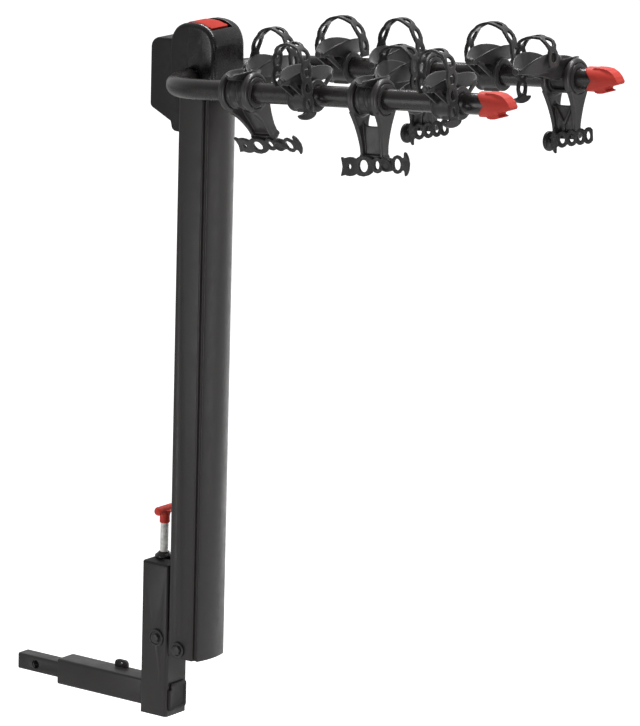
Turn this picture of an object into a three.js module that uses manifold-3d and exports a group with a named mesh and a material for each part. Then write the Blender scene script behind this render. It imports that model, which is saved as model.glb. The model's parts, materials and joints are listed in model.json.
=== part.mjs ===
// Hitch mounted hanging bike rack for four bikes, in millimetres.
// Frame: +X points away from the vehicle, +Y to the far side, +Z up. The pieces are drawn
// about the axis of the hitch bar, X = 0 at its pin hole, and the whole rack is lowered by
// half the bar so that the origin lies on the bar's top face.
import * as THREE from "three";
import { mergeVertices } from "three/addons/utils/BufferGeometryUtils.js";
import Module from "manifold-3d";

const wasm = await Module();
wasm.setup();

// ---------- driving dimensions ----------
const GAP = 0.3; // clearance between neighbouring pieces

const BAR = 31.75; // 1 1/4 in hitch bar
const BAR_WALL = 4.8;
const BAR_START = -43;
const PIN_HOLE_R = 8.2;

const SLEEVE = 50.8; // 2 in adapter tube
const SLEEVE_WALL = 4;
const SLEEVE_START = 62;

const POST = 63.5; // lower post, 2 1/2 in square tube
const POST_WALL = 4;
const POST_X = 300; // post centre
const POST_BOTTOM = -37;
const POST_TOP = 257;

const PIVOT = { x: 368, z: 107 }; // mast tilt pivot
const BRACKET_BOLT = { x: 306, z: 116 };
const BOLT_R = 6; // M12
const CHEEK = 6; // pivot bracket plate
const CHEEK_OUT = POST / 2 - POST_WALL - GAP; // outer face of the bracket plates

const MAST_BACK = 342;
const MAST_FRONT = 402; // end of the flat side
const MAST_CREST = 417; // middle of the curved front face
const MAST_HALF = 46;
const MAST_STEP = { x: 9, y: 4 }; // groove between the side and the curved face
const MAST_WALL = 3.5;
const MAST_BOTTOM = 90;
const MAST_TOP = 1172;
const MAST_FILLET = 9;

const TONGUE = { z: 195, thick: 8, half: 13, tip: 284, clear: 16 };
const LOCK_R = 7.9; // 5/8 in lock pin
const LOCK_X = 296;

const HUB = { x: 374, z: 1202 }; // fold hinge, on the axis of the cross tube
const TUBE_R = 19.05; // 1 1/2 in arm tube
const TUBE_WALL = 2.5;
const ARM_HALF = 170; // half the distance between the two arms
const BEND_R = 118;
const ARM_TILT = THREE.MathUtils.degToRad(5);
const ARM_LEN = 758; // along the arm from the hub axis to the tube end

const HEAD = { back: 321, front: 426, half: 47, bottom: MAST_TOP + GAP, wall: 3.2 };
const HEAD_R = (HEAD.front - HEAD.back) / 2;
const HEAD_X = (HEAD.front + HEAD.back) / 2;
const HEAD_ARCH_Z = 1251.5;
const SEAM_X = 366;
const LEVER = { x: 352, z: 1287, y: [-36, 14], from: 0.3, to: 0.66, pocket: [-38, 32] };
const PAWL = { x: 396, z: 1250 };
const CROSS_PIN_R = 3;

const HUB_R = 28; // cradle hub around the tube
const RING_R = 36;
const RING_IN = HUB_R + 1;
const STRAP_W = 27;
const STRAP_T = 5;

// ---------- materials ----------
const mat = (color, roughness, metalness) =>
  new THREE.MeshStandardMaterial({ color, roughness, metalness });
const paint = () => mat(0x2b2929, 0.5, 0.35);
const zinc = () => mat(0xb9bcbd, 0.35, 0.9);
const plastic = () => mat(0x232222, 0.6, 0.0);
const rubber = () => mat(0x1d1d1d, 0.8, 0.0);
const red = () => mat(0xc43b30, 0.45, 0.0);

// ---------- solid modelling helpers ----------
const toSolid = (geometry) => {
  const g = geometry.clone();
  g.deleteAttribute("normal");
  g.deleteAttribute("uv");
  const m = mergeVertices(g, 1e-4);
  return new wasm.Manifold(
    new wasm.Mesh({
      numProp: 3,
      vertProperties: new Float32Array(m.attributes.position.array),
      triVerts: new Uint32Array(m.index.array),
    }),
  );
};

const toMesh = (name, solid, material) => {
  const m = solid.getMesh();
  const g = new THREE.BufferGeometry();
  g.setAttribute("position", new THREE.BufferAttribute(m.vertProperties.slice(), 3));
  g.setIndex(new THREE.BufferAttribute(m.triVerts.slice(), 1));
  const flat = g.toNonIndexed();
  flat.computeVertexNormals();
  const mesh = new THREE.Mesh(flat, material);
  mesh.name = name;
  return mesh;
};

const box = (x0, x1, y0, y1, z0, z1) =>
  toSolid(
    new THREE.BoxGeometry(x1 - x0, y1 - y0, z1 - z0).translate(
      (x0 + x1) / 2,
      (y0 + y1) / 2,
      (z0 + z1) / 2,
    ),
  );

// cylinder along an axis, from a to b on that axis, centred at (u, v) on the other two
const cyl = (axis, r, a, b, u = 0, v = 0, seg = 16, r2 = r) => {
  const g = new THREE.CylinderGeometry(r2, r, b - a, seg);
  const mid = (a + b) / 2;
  if (axis === "x") return toSolid(g.rotateZ(-Math.PI / 2).translate(mid, u, v));
  if (axis === "y") return toSolid(g.translate(u, mid, v));
  return toSolid(g.rotateX(Math.PI / 2).translate(u, v, mid));
};

// shape drawn in the X-Z plane and extruded along Y from y0 to y1
const slabXZ = (shape, y0, y1, curve = 4) =>
  toSolid(
    new THREE.ExtrudeGeometry(shape, { depth: y1 - y0, bevelEnabled: false, curveSegments: curve })
      .rotateX(Math.PI / 2)
      .translate(0, y1, 0),
  );

// shape drawn in the X-Y plane and extruded along Z
const slabXY = (shape, z0, z1, curve = 4) =>
  toSolid(
    new THREE.ExtrudeGeometry(shape, {
      depth: z1 - z0,
      bevelEnabled: false,
      curveSegments: curve,
    }).translate(0, 0, z0),
  );

// shape drawn in the Y-Z plane and extruded along X
const slabYZ = (shape, x0, x1, curve = 4) =>
  toSolid(
    new THREE.ExtrudeGeometry(shape, { depth: x1 - x0, bevelEnabled: false, curveSegments: curve })
      .rotateX(Math.PI / 2)
      .rotateZ(Math.PI / 2)
      .translate(x0, 0, 0),
  );

// the stretch from a to b, mirrored when sign is negative, lowest end first
const span = (sign, a, b) => [sign * a, sign * b].sort((p, q) => p - q);

const union = (...solids) => solids.reduce((a, b) => a.add(b));
const cut = (solid, ...tools) => tools.reduce((a, b) => a.subtract(b), solid);

const rounded = (x0, x1, y0, y1, r) => {
  const s = new THREE.Shape();
  s.moveTo(x0 + r, y0);
  s.lineTo(x1 - r, y0);
  s.absarc(x1 - r, y0 + r, r, -Math.PI / 2, 0);
  s.lineTo(x1, y1 - r);
  s.absarc(x1 - r, y1 - r, r, 0, Math.PI / 2);
  s.lineTo(x0 + r, y1);
  s.absarc(x0 + r, y1 - r, r, Math.PI / 2, Math.PI);
  s.lineTo(x0, y0 + r);
  s.absarc(x0 + r, y0 + r, r, Math.PI, 1.5 * Math.PI);
  return s;
};

// square tube along X, or along Z at a given centre
const squareTubeX = (size, wall, x0, x1, r = 3) => {
  const h = size / 2;
  const i = h - wall;
  const outer = slabYZ(rounded(-h, h, -h, h, r), x0, x1, 3);
  return cut(outer, box(x0 - 1, x1 + 1, -i, i, -i, i));
};

// ribbon of even thickness that follows points [x, z], extruded along Y
const ribbon = (points, thick, y0, y1) => {
  const p = points.map(([x, z]) => new THREE.Vector2(x, z));
  const left = [];
  const right = [];
  p.forEach((point, i) => {
    const a = p[Math.max(i - 1, 0)];
    const b = p[Math.min(i + 1, p.length - 1)];
    const t = b.clone().sub(a).normalize();
    const n = new THREE.Vector2(-t.y, t.x).multiplyScalar(thick / 2);
    left.push(point.clone().add(n));
    right.unshift(point.clone().sub(n));
  });
  return slabXZ(new THREE.Shape([...left, ...right]), y0, y1);
};

// ---------- hitch bar, sleeve and lower post ----------
const hitchBar = () =>
  cut(
    squareTubeX(BAR, BAR_WALL, BAR_START, POST_X + 20),
    cyl("y", PIN_HOLE_R, -BAR, BAR, 0, 0),
  );

const hitchSleeve = () =>
  squareTubeX(SLEEVE, SLEEVE_WALL, SLEEVE_START, POST_X + POST / 2 - GAP, 5);

// the bar rests on the lower side of each spacer, with some slack above it
const BAR_SLACK = 2.2;

const sleeveSpacer = (x0, x1) => {
  const outer = SLEEVE / 2 - SLEEVE_WALL - GAP;
  const inner = BAR / 2 + GAP;
  const ring = box(x0, x1, -outer, outer, -outer, outer);
  return cut(ring, box(x0 - 1, x1 + 1, -inner, inner, -inner, BAR / 2 + BAR_SLACK));
};

// small drilled lug on top of the sleeve, for a safety lanyard
const sleeveLug = () => {
  const top = SLEEVE / 2 + GAP;
  const s = new THREE.Shape();
  s.moveTo(172, top);
  s.lineTo(202, top);
  s.absarc(194, top + 5, 8, 0, Math.PI / 2);
  s.lineTo(180, top + 13);
  s.absarc(180, top + 5, 8, Math.PI / 2, Math.PI);
  return cut(slabXZ(s, 13, 19, 5), cyl("y", 3, 10, 22, 187, top + 6.5, 16));
};

const lowerPost = () => {
  const h = POST / 2;
  const i = h - POST_WALL;
  const s = SLEEVE / 2 + GAP;
  const outer = slabXY(rounded(-h, h, -h, h, 5), POST_BOTTOM, POST_TOP, 3).translate(POST_X, 0, 0);
  const x = [POST_X - i, POST_X + i];
  return cut(
    outer,
    box(...x, -i, i, POST_BOTTOM - 1, POST_TOP + 1),
    box(POST_X - h - 1, POST_X + h + 1, -s, s, -s, s),
    box(POST_X, POST_X + h + 1, -i + GAP, i - GAP, 84, 134),
    box(POST_X, POST_X + h + 1, -15, 15, TONGUE.z - 1, TONGUE.z + 36),
    cyl("y", BOLT_R + GAP, -h - 1, h + 1, BRACKET_BOLT.x, BRACKET_BOLT.z),
  );
};

const postCap = () => {
  const h = POST / 2;
  const plug = h - POST_WALL - GAP;
  const lid = slabXY(rounded(-h, h, -h, h, 5), POST_TOP + GAP, POST_TOP + 4.5, 3);
  const boss = box(-plug, plug, -plug, plug, POST_TOP - 9, POST_TOP + 1);
  return cut(
    union(lid, boss).translate(POST_X, 0, 0),
    cyl("z", 12 + GAP, POST_TOP - 20, POST_TOP + 20, LOCK_X, 0),
  );
};

// guide collar of the lock pin: a cone above the cap and a sleeve below it
const pinGuide = () =>
  cut(
    union(
      cyl("z", 12, POST_TOP - 9, POST_TOP + 6, LOCK_X, 0),
      cyl("z", 17, POST_TOP + 4.8, POST_TOP + 21, LOCK_X, 0, 24, 10),
    ),
    cyl("z", LOCK_R + GAP, POST_TOP - 20, POST_TOP + 30, LOCK_X, 0),
  );

const barEndPlug = () => {
  const face = POST_X + POST / 2;
  const i = SLEEVE / 2 - SLEEVE_WALL - GAP;
  return union(
    slabYZ(rounded(-27, 27, -27, 27, 6), face + GAP, face + 4, 3),
    box(face - 8, face + 1, -i, i, -i, i),
  );
};

// ---------- fasteners ----------
// bolt along Y: button head with a flange on the near side, thread end on the far side
const bolt = ({ x, z }, yHead, yEnd, flange) =>
  union(
    cyl("y", BOLT_R, yHead - 1, yEnd, x, z),
    cyl("y", flange, yHead - 3, yHead, x, z),
    cyl("y", 11.5, yHead - 8, yHead - 2, x, z, 20, 8),
  );

const nut = ({ x, z }, y0) =>
  cut(
    union(cyl("y", 14, y0, y0 + 2.5, x, z), cyl("y", 11, y0 + 2, y0 + 11, x, z, 6)),
    cyl("y", BOLT_R + GAP, y0 - 1, y0 + 20, x, z),
  );

// ---------- pivot bracket between post and mast ----------
const pivotBracket = () => {
  const web = POST_X - POST / 2 + POST_WALL + 3;
  const side = new THREE.Shape();
  side.moveTo(web, 86);
  side.lineTo(PIVOT.x, PIVOT.z - 21);
  side.absarc(PIVOT.x, PIVOT.z, 21, -Math.PI / 2, Math.PI / 2);
  side.lineTo(POST_X + 20, 132);
  side.lineTo(web, 132);
  const body = slabXZ(side, -CHEEK_OUT, CHEEK_OUT, 10);
  const inner = CHEEK_OUT - CHEEK;
  return cut(
    body,
    box(web + 5, PIVOT.x + 40, -inner, inner, 80, 140),
    cyl("y", BOLT_R + GAP, -40, 40, PIVOT.x, PIVOT.z),
    cyl("y", BOLT_R + GAP, -40, 40, BRACKET_BOLT.x, BRACKET_BOLT.z),
  );
};

const pivotSpacer = (side) => {
  const a = CHEEK_OUT + GAP;
  const b = MAST_HALF - MAST_WALL - GAP;
  const ends = side < 0 ? [-b, -a] : [a, b];
  return cut(
    cyl("y", 14, ...ends, PIVOT.x, PIVOT.z),
    cyl("y", BOLT_R + GAP, -60, 60, PIVOT.x, PIVOT.z),
  );
};

// ---------- lock pin ----------
const lockPin = () => {
  const tip = TONGUE.z + TONGUE.thick + TONGUE.clear;
  return union(
    cyl("z", LOCK_R - 2, tip, tip + 4, LOCK_X, 0, 20, LOCK_R),
    cyl("z", LOCK_R, tip + 3.9, 344, LOCK_X, 0, 20),
    cyl("z", 11, 224, 227, LOCK_X, 0, 20),
  );
};

const lockKnob = () =>
  cut(
    union(
      cyl("z", 9, 334, 356, LOCK_X, 0, 16, 8),
      cyl("y", 8.5, -26, 26, LOCK_X, 359),
    ),
    cyl("z", LOCK_R + GAP, 320, 344 + GAP, LOCK_X, 0, 20),
  );

class Helix extends THREE.Curve {
  constructor(radius, z0, z1, turns, x, y) {
    super();
    Object.assign(this, { radius, z0, z1, turns, x, y });
  }
  getPoint(t) {
    const a = 2 * Math.PI * this.turns * t;
    const z = this.z0 + (this.z1 - this.z0) * t;
    return new THREE.Vector3(
      this.x + this.radius * Math.cos(a),
      this.y + this.radius * Math.sin(a),
      z,
    );
  }
}

const circle = (r, n = 8) => {
  const s = new THREE.Shape();
  for (let i = 0; i < n; i += 1) {
    const a = (2 * Math.PI * i) / n;
    if (i === 0) s.moveTo(r, 0);
    else s.lineTo(r * Math.cos(a), r * Math.sin(a));
  }
  return s;
};

const sweep = (curve, shape, steps) =>
  toSolid(new THREE.ExtrudeGeometry(shape, { steps, bevelEnabled: false, extrudePath: curve }));

const lockSpring = () =>
  sweep(new Helix(10, 228.5, POST_TOP - 10.6, 3, LOCK_X, 0), circle(0.9, 5), 24);

// ---------- mast ----------
// D section: flat back and sides, a shallow groove, then a front face that bulges forward
const mastSection = (inset) => {
  const b = MAST_BACK + inset;
  const f = MAST_FRONT - inset / 2;
  const h = MAST_HALF - inset;
  const r = Math.max(MAST_FILLET - inset, 2);
  const step = { x: f + MAST_STEP.x - inset / 2, y: h - MAST_STEP.y };
  const s = new THREE.Shape();
  s.moveTo(b + r, -h);
  s.lineTo(f - 2, -h);
  s.lineTo(f, -h + 2);
  if (!inset) s.lineTo(f + 1, -step.y - 1);
  s.lineTo(step.x - 1, -step.y - 1);
  s.lineTo(step.x, -step.y + 1);
  s.quadraticCurveTo(2 * (MAST_CREST - inset) - step.x, 0, step.x, step.y - 1);
  s.lineTo(step.x - 1, step.y + 1);
  if (!inset) s.lineTo(f + 1, step.y + 1);
  s.lineTo(f, h - 2);
  s.lineTo(f - 2, h);
  s.lineTo(b + r, h);
  s.absarc(b + r, h - r, r, Math.PI / 2, Math.PI);
  s.lineTo(b, -h + r);
  s.absarc(b + r, -h + r, r, Math.PI, 1.5 * Math.PI);
  return s;
};

const mastTube = () => {
  const outer = slabXY(mastSection(0), MAST_BOTTOM, MAST_TOP, 7);
  const inner = slabXY(mastSection(MAST_WALL), MAST_BOTTOM - 1, MAST_TOP + 1, 7);
  // side view that rounds the lower back corner about the pivot
  const side = new THREE.Shape();
  const r = PIVOT.x - MAST_BACK;
  side.moveTo(PIVOT.x - r, MAST_TOP);
  side.lineTo(PIVOT.x - r, PIVOT.z);
  side.absarc(PIVOT.x, PIVOT.z, r, Math.PI, 1.38 * Math.PI);
  side.lineTo(400, MAST_BOTTOM);
  side.lineTo(440, MAST_BOTTOM);
  side.lineTo(440, MAST_TOP);
  const trim = slabXZ(side, -60, 60, 12);
  return cut(
    outer.subtract(inner).intersect(trim),
    box(MAST_BACK - 2, MAST_BACK + 12, -33, 33, MAST_BOTTOM - 20, 136),
    cyl("y", BOLT_R + GAP, -60, 60, PIVOT.x, PIVOT.z),
  );
};

const latchTongue = () => {
  const { z, thick, half, tip } = TONGUE;
  const s = new THREE.Shape();
  s.moveTo(MAST_BACK - GAP, -half - 8);
  s.lineTo(MAST_BACK - GAP, half + 8);
  s.lineTo(MAST_BACK - 10, half);
  s.lineTo(tip + 5, half);
  s.lineTo(tip, half - 5);
  s.lineTo(tip, -half + 5);
  s.lineTo(tip + 5, -half);
  s.lineTo(MAST_BACK - 10, -half);
  return cut(slabXY(s, z, z + thick), cyl("z", LOCK_R + 0.8, z - 5, z + 20, LOCK_X, 0, 20));
};

// ---------- head ----------
const BUSH = { out: 22.5, y0: 35.5, y1: 43.4 };
const CHEEKS = { out: MAST_HALF - MAST_WALL - GAP, in: 36.7, foot: 1112 };

// two cheek plates on a floor plate: narrow inside the mast, wider inside the head
const headBracket = () => {
  const plate = new THREE.Shape();
  const back = MAST_BACK + MAST_WALL + 6;
  plate.moveTo(back, CHEEKS.foot);
  plate.lineTo(398, CHEEKS.foot);
  plate.lineTo(398, MAST_TOP + 2);
  plate.lineTo(410, MAST_TOP + 10);
  plate.lineTo(410, 1262);
  plate.lineTo(398, 1286);
  plate.lineTo(372, 1293);
  plate.lineTo(346, 1291.5);
  plate.lineTo(334, 1262);
  plate.lineTo(334, MAST_TOP + 14);
  plate.lineTo(back, MAST_TOP + 2);
  return cut(
    slabXZ(plate, -CHEEKS.out, CHEEKS.out),
    box(330, 420, -CHEEKS.in, CHEEKS.in, CHEEKS.foot + 6, 1300),
    cyl("y", BUSH.out + GAP, -50, 50, HUB.x, HUB.z, 32),
    cyl("y", CROSS_PIN_R + GAP, -50, 50, LEVER.x, LEVER.z),
    cyl("y", CROSS_PIN_R + GAP, -50, 50, PAWL.x, PAWL.z),
  );
};

const hubBush = (side) =>
  cut(
    cyl("y", BUSH.out, ...span(side, BUSH.y0, BUSH.y1), HUB.x, HUB.z, 28),
    cyl("y", TUBE_R + GAP, -60, 60, HUB.x, HUB.z, 28),
  );

const headProfile = (inset) => {
  const s = new THREE.Shape();
  s.moveTo(HEAD.back + inset, HEAD.bottom - (inset ? 5 : 0));
  s.lineTo(HEAD.front - inset, HEAD.bottom - (inset ? 5 : 0));
  s.absarc(HEAD_X, HEAD_ARCH_Z, HEAD_R - inset, 0, Math.PI);
  return s;
};

const headShell = () => {
  const y = HEAD.half;
  return cut(
    slabXZ(headProfile(0), -y, y, 14),
    slabXZ(headProfile(HEAD.wall), -y + HEAD.wall, y - HEAD.wall, 14),
    cyl("y", TUBE_R + 2, -60, 60, HUB.x, HUB.z, 28),
    leverBand(LEVER.pocket, 5, 1.5, 8),
  );
};

const headCoverRear = () =>
  cut(
    headShell(),
    box(SEAM_X - 0.2, 500, -80, 80, 1000, 1400),
    box(320, 330, -26, 26, 1135, 1245),
  );

const headCoverFront = () => cut(headShell(), box(200, SEAM_X + 0.2, -80, 80, 1000, 1400));

// housing on the vehicle side of the head and mast top, open toward them
const HOUSING = { half: 32, wall: 3, back: 266, top: 1268, bottom: 1094, mouth: 1120 };

const mechanismProfile = (inset) => {
  const head = HEAD.back - GAP + (inset ? 5 : 0);
  const mast = MAST_BACK - GAP;
  const low = HOUSING.bottom + inset;
  const s = new THREE.Shape();
  const { back, top } = HOUSING;
  const lobe = mast - 15; // centre of the rounded foot beside the mast
  s.moveTo(head, top - inset);
  s.lineTo(back + 30, top - 2 - inset);
  s.absarc(back + 20, top - 22, 20 - inset, Math.PI / 2, Math.PI);
  s.lineTo(back + inset, 1142);
  s.absarc(back + 10, 1141, 10 - inset, Math.PI, 1.36 * Math.PI);
  s.lineTo(lobe - 13, 1112 + inset);
  s.absarc(lobe, low + 11, 11, Math.PI, 1.5 * Math.PI);
  if (inset) {
    s.lineTo(mast - 5, low);
    s.lineTo(mast - 5, HOUSING.mouth);
    s.lineTo(head, HOUSING.mouth);
  } else {
    s.lineTo(mast - 4, low);
    s.lineTo(mast, low + 4);
    s.lineTo(mast, MAST_TOP - 1);
    s.lineTo(head, MAST_TOP - 1);
  }
  return s;
};

const mechanismHousing = () =>
  cut(
    slabXZ(mechanismProfile(0), -HOUSING.half, HOUSING.half, 6),
    slabXZ(mechanismProfile(HOUSING.wall), -HOUSING.half + 3, HOUSING.half - 3, 6),
  );

// pin along Y with a small head on the near side
const crossPin = (x, z) =>
  union(cyl("y", CROSS_PIN_R, -43, 43, x, z), cyl("y", 5, -43.4, -42.6, x, z));

// curved band that follows the arch of the head: its sides, growth past the lever's ends,
// height above the arch and depth below it
const leverBand = (sides, grow, above, depth) => {
  const s = new THREE.Shape();
  const outer = HEAD_R + above;
  const ends = [LEVER.from, LEVER.to].map((t) => t * Math.PI);
  const extra = grow / HEAD_R;
  s.absarc(HEAD_X, HEAD_ARCH_Z, outer, ends[0] - extra, ends[1] + extra);
  s.absarc(HEAD_X, HEAD_ARCH_Z, outer - above - depth, ends[1] + extra, ends[0] - extra, true);
  return slabXZ(s, ...sides, 7);
};

// release lever: a curved blade flush with the head, a round hub below it and a toe
const releaseLever = () =>
  cut(
    union(
      leverBand(LEVER.y, 0, 0.5, 5),
      cyl("y", 6.5, ...LEVER.y, LEVER.x, LEVER.z),
      box(LEVER.x + 1, LEVER.x + 10, -30, 10, LEVER.z, LEVER.z + 10),
      box(LEVER.x, LEVER.x + 20, -8, 8, LEVER.z - 6, LEVER.z - 1),
    ),
    cyl("y", CROSS_PIN_R + GAP, -50, 50, LEVER.x, LEVER.z),
  );

const RATCHET_R = 37;

// pawl: its nose stands just clear of the ratchet rim
const pawl = () => {
  const s = new THREE.Shape();
  s.moveTo(PAWL.x + 7, PAWL.z + 2);
  s.lineTo(PAWL.x, PAWL.z + 9);
  s.lineTo(PAWL.x - 22, PAWL.z + 10);
  s.lineTo(PAWL.x - 22, PAWL.z + 1);
  s.lineTo(PAWL.x - 15, PAWL.z - 8);
  s.lineTo(PAWL.x - 8, PAWL.z - 7);
  s.lineTo(PAWL.x + 2, PAWL.z - 6);
  return cut(slabXZ(s, -6, 6), cyl("y", CROSS_PIN_R + GAP, -50, 50, PAWL.x, PAWL.z));
};

const pawlSpring = () =>
  sweep(new Helix(4, 1256, 1272, 3, 403, 20), circle(0.7, 4), 24).translate(0, -6, 0);

// ---------- arms ----------
// arm pieces are drawn with x along the arm from the hub axis, y across and z up; the arms
// group then carries them to the hub and tilts them
// U shaped centre line: one arm, a bend, the cross part through the head, a bend, the other arm
class UPath extends THREE.Curve {
  constructor(overrun, bendSteps) {
    super();
    const cross = ARM_HALF - BEND_R;
    const bend = (Math.PI / 2) * BEND_R;
    const half = [cross];
    for (let i = 1; i <= bendSteps; i += 1) half.push(cross + (bend * i) / bendSteps);
    half.push(cross + bend + ARM_LEN - BEND_R + overrun);
    this.cross = cross;
    this.bend = bend;
    this.stations = [...half.map((d) => -d).reverse(), ...half];
  }
  // one section at each station, none in between
  getUtoTmapping(u) {
    return u;
  }
  getPoint(t) {
    const last = this.stations.length - 1;
    const i = Math.min(Math.floor(t * last), last - 1);
    const along = THREE.MathUtils.lerp(this.stations[i], this.stations[i + 1], t * last - i);
    const side = Math.sign(along);
    const d = Math.abs(along) - this.cross;
    if (d <= 0) return new THREE.Vector3(0, along, 0);
    if (d >= this.bend) return new THREE.Vector3(BEND_R + d - this.bend, side * ARM_HALF, 0);
    const a = d / BEND_R;
    const y = this.cross + BEND_R * Math.sin(a);
    return new THREE.Vector3(BEND_R * (1 - Math.cos(a)), side * y, 0);
  }
}

const uTube = (r, overrun) => {
  const path = new UPath(overrun, 7);
  return sweep(path, circle(r, 20), path.stations.length - 1);
};

const armTube = () => cut(uTube(TUBE_R, 0), uTube(TUBE_R - TUBE_WALL, 2));

const foldRatchet = () => {
  const disc = union(
    cyl("y", RATCHET_R, -9, 9, 0, 0, 24),
    cyl("y", 25, -24, 24, 0, 0, 20),
  );
  const bore = cyl("y", TUBE_R + GAP, -60, 60, 0, 0, 20);
  const notches = [-72, -27, 18].map((deg) => {
    const a = THREE.MathUtils.degToRad(deg);
    return cyl("y", 6, -20, 20, RATCHET_R * Math.sin(a + 0.3), RATCHET_R * Math.cos(a + 0.3), 12);
  });
  return cut(disc, bore, ...notches);
};

// hooked cap on the tube end, notched in a V on both sides
const endCap = () => {
  const x0 = ARM_LEN - 34;
  const x1 = ARM_LEN + 44;
  const outline = new THREE.Shape();
  outline.moveTo(x0, TUBE_R + 3);
  outline.lineTo(x0 + 16, 0);
  outline.lineTo(x0, -TUBE_R - 3);
  outline.lineTo(x0 + 24, -TUBE_R - 6);
  outline.lineTo(x1 - 24, -TUBE_R - 4);
  outline.lineTo(x1 - 12, -TUBE_R - 2);
  outline.lineTo(x1 - 14, -8);
  outline.lineTo(x1, 0);
  outline.lineTo(x1 - 4, 12);
  outline.lineTo(x1 - 18, TUBE_R + 3);
  const body = slabXZ(outline, -30, 30);
  const round = cyl("x", TUBE_R + 4, x0 - 5, x1 + 5, 0, 0, 20);
  const lips = box(x0 + 20, x1 + 5, -16, 16, -TUBE_R - 6, TUBE_R + 6);
  return cut(
    body.intersect(union(round, lips)),
    cyl("x", TUBE_R + GAP, x0 - 10, ARM_LEN + 1, 0, 0, 20),
  );
};

// ---------- cradles, each drawn about the arm's axis ----------
// leaf shaped wall of a trough, leaning outward; x = 0 is the middle of the trough
const leafWall = (lean, y0, y1, height) => {
  const s = new THREE.Shape();
  const mid = (y0 + y1) / 2;
  s.moveTo(y0, 0);
  s.lineTo(y1, 0);
  s.lineTo(y1, 5);
  s.quadraticCurveTo(mid, 2 * height - 5, y0, 5);
  return slabYZ(s, -2, 2).rotate([0, lean, 0]).translate(Math.sign(lean) * 13, 0, 0);
};

const trough = (y0, y1, base, height) =>
  union(
    box(-15, 15, y0, y1, base, base + 5),
    leafWall(20, y0, y1, height).translate(0, 0, base + 1),
    leafWall(-20, y0, y1, height).translate(0, 0, base + 1),
  );

// straps: half span, foot height, apex height, offset across the arm and offset along it.
// A loop stands open over its trough; a tight strap is hooked down, with its tail below
const LOOP = { half: 52, foot: 22, apex: 94, y: 0, x: 0, tight: false };
const SWAY_LOOP = { half: 45, foot: 28, apex: 106, y: -80, x: 13, tight: false };
const TIGHT = { half: 32, foot: 20, apex: 98, y: 41, x: 0, tight: true };
const SWAY_TIGHT = { half: 34, foot: 30, apex: 84, y: -80, x: 4, tight: true };

// tab that carries a strap's feet, up to the trough only where the other end is a free tail
const strapTab = (side, strap, z) => {
  const y = span(side, strap.y - 10, strap.y + 10);
  const reach = strap.half - 6;
  if (!strap.tight) return box(strap.x - reach, strap.x + reach, ...y, z, z + 5);
  return box(...span(side, 0, reach - strap.x), ...y, z, z + 5);
};

const plainSaddle = (side, strap) => {
  const collar = cyl("x", HUB_R - 2, -24, 24, 0, 0, 20);
  const flare = cyl("x", HUB_R + 2, 18, 25, 0, 0, 20);
  const legs = box(-24, 24, -13, 13, 10, TUBE_R + 8);
  const tab = strapTab(side, strap, 23);
  const body = union(collar, flare, legs, tab, trough(-68, 68, TUBE_R + 5, 24));
  return cut(body, cyl("x", TUBE_R + GAP, -80, 80, 0, 0, 20));
};

const swaySaddle = (side, strap) => {
  const hub = cyl("x", HUB_R, -33, 33, 0, 0, 20);
  const neck = box(-16, 16, ...span(-side, 0, 50), 14, 34);
  const rest = trough(...span(-side, 24, 148), 30, 26);
  const body = union(hub, neck, rest, strapTab(side, strap, 29));
  return cut(body, cyl("x", TUBE_R + GAP, -80, 80, 0, 0, 20));
};

// ladder holes along a strap: ovals cut square to the band
const ladderHoles = (points, picks, yMid) =>
  picks.map((i) => {
    const [x0, z0] = points[i - 1];
    const [x1, z1] = points[i + 1];
    const angle = Math.atan2(z1 - z0, x1 - x0);
    const g = new THREE.CylinderGeometry(1, 1, 30, 8)
      .scale(9, 1, 6.5)
      .rotateX(Math.PI / 2)
      .rotateY(-angle)
      .translate(points[i][0], yMid, points[i][1]);
    return toSolid(g);
  });

// arch of a strap: half span, foot height, apex height
const archPoints = (half, foot, apex, n = 10) =>
  Array.from({ length: n + 1 }, (_, i) => {
    const a = Math.PI * (1 - i / n);
    return [half * Math.cos(a), foot + (apex - foot) * Math.sin(a) ** 0.8];
  });

const loopStrap = (side, strap) => {
  const p = archPoints(strap.half, strap.foot, strap.apex).map(([x, z]) => [x + strap.x, z]);
  const y = side * strap.y;
  const band = ribbon(p, STRAP_T, y - STRAP_W / 2, y + STRAP_W / 2);
  return cut(band, ...ladderHoles(p, [2, 4, 6, 8], y));
};

const GRIP = 17; // half width of a strap's T handle

// strap pulled tight over a trough, with its tail and T handle below the tube; the tail hangs
// on the outer end side of a near cradle and on the mast side of a far one
const tightStrap = (side, strap) => {
  const h = strap.half;
  const arch = archPoints(h, 58, strap.apex, 6);
  const p = [[-h, strap.foot], ...arch, [h, 30], [h + 1, 0], [h + 1, -38]].map(([x, z]) => [
    -side * (x + strap.x),
    z,
  ]);
  const y = side * strap.y;
  const band = ribbon(p, STRAP_T, y - STRAP_W / 2, y + STRAP_W / 2);
  const handle = new THREE.Shape();
  handle.moveTo(-GRIP, -34);
  handle.lineTo(GRIP, -34);
  handle.quadraticCurveTo(GRIP, -46, 0, -46);
  handle.quadraticCurveTo(-GRIP, -46, -GRIP, -34);
  const x = h + strap.x;
  const grip = slabYZ(handle, ...span(-side, x - 2, x + 4)).translate(0, y, 0);
  return cut(union(band, grip), ...ladderHoles(p, [3, 5, 9], y));
};

const STAY_FOOT = -110; // lower end of a stay's web

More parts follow.
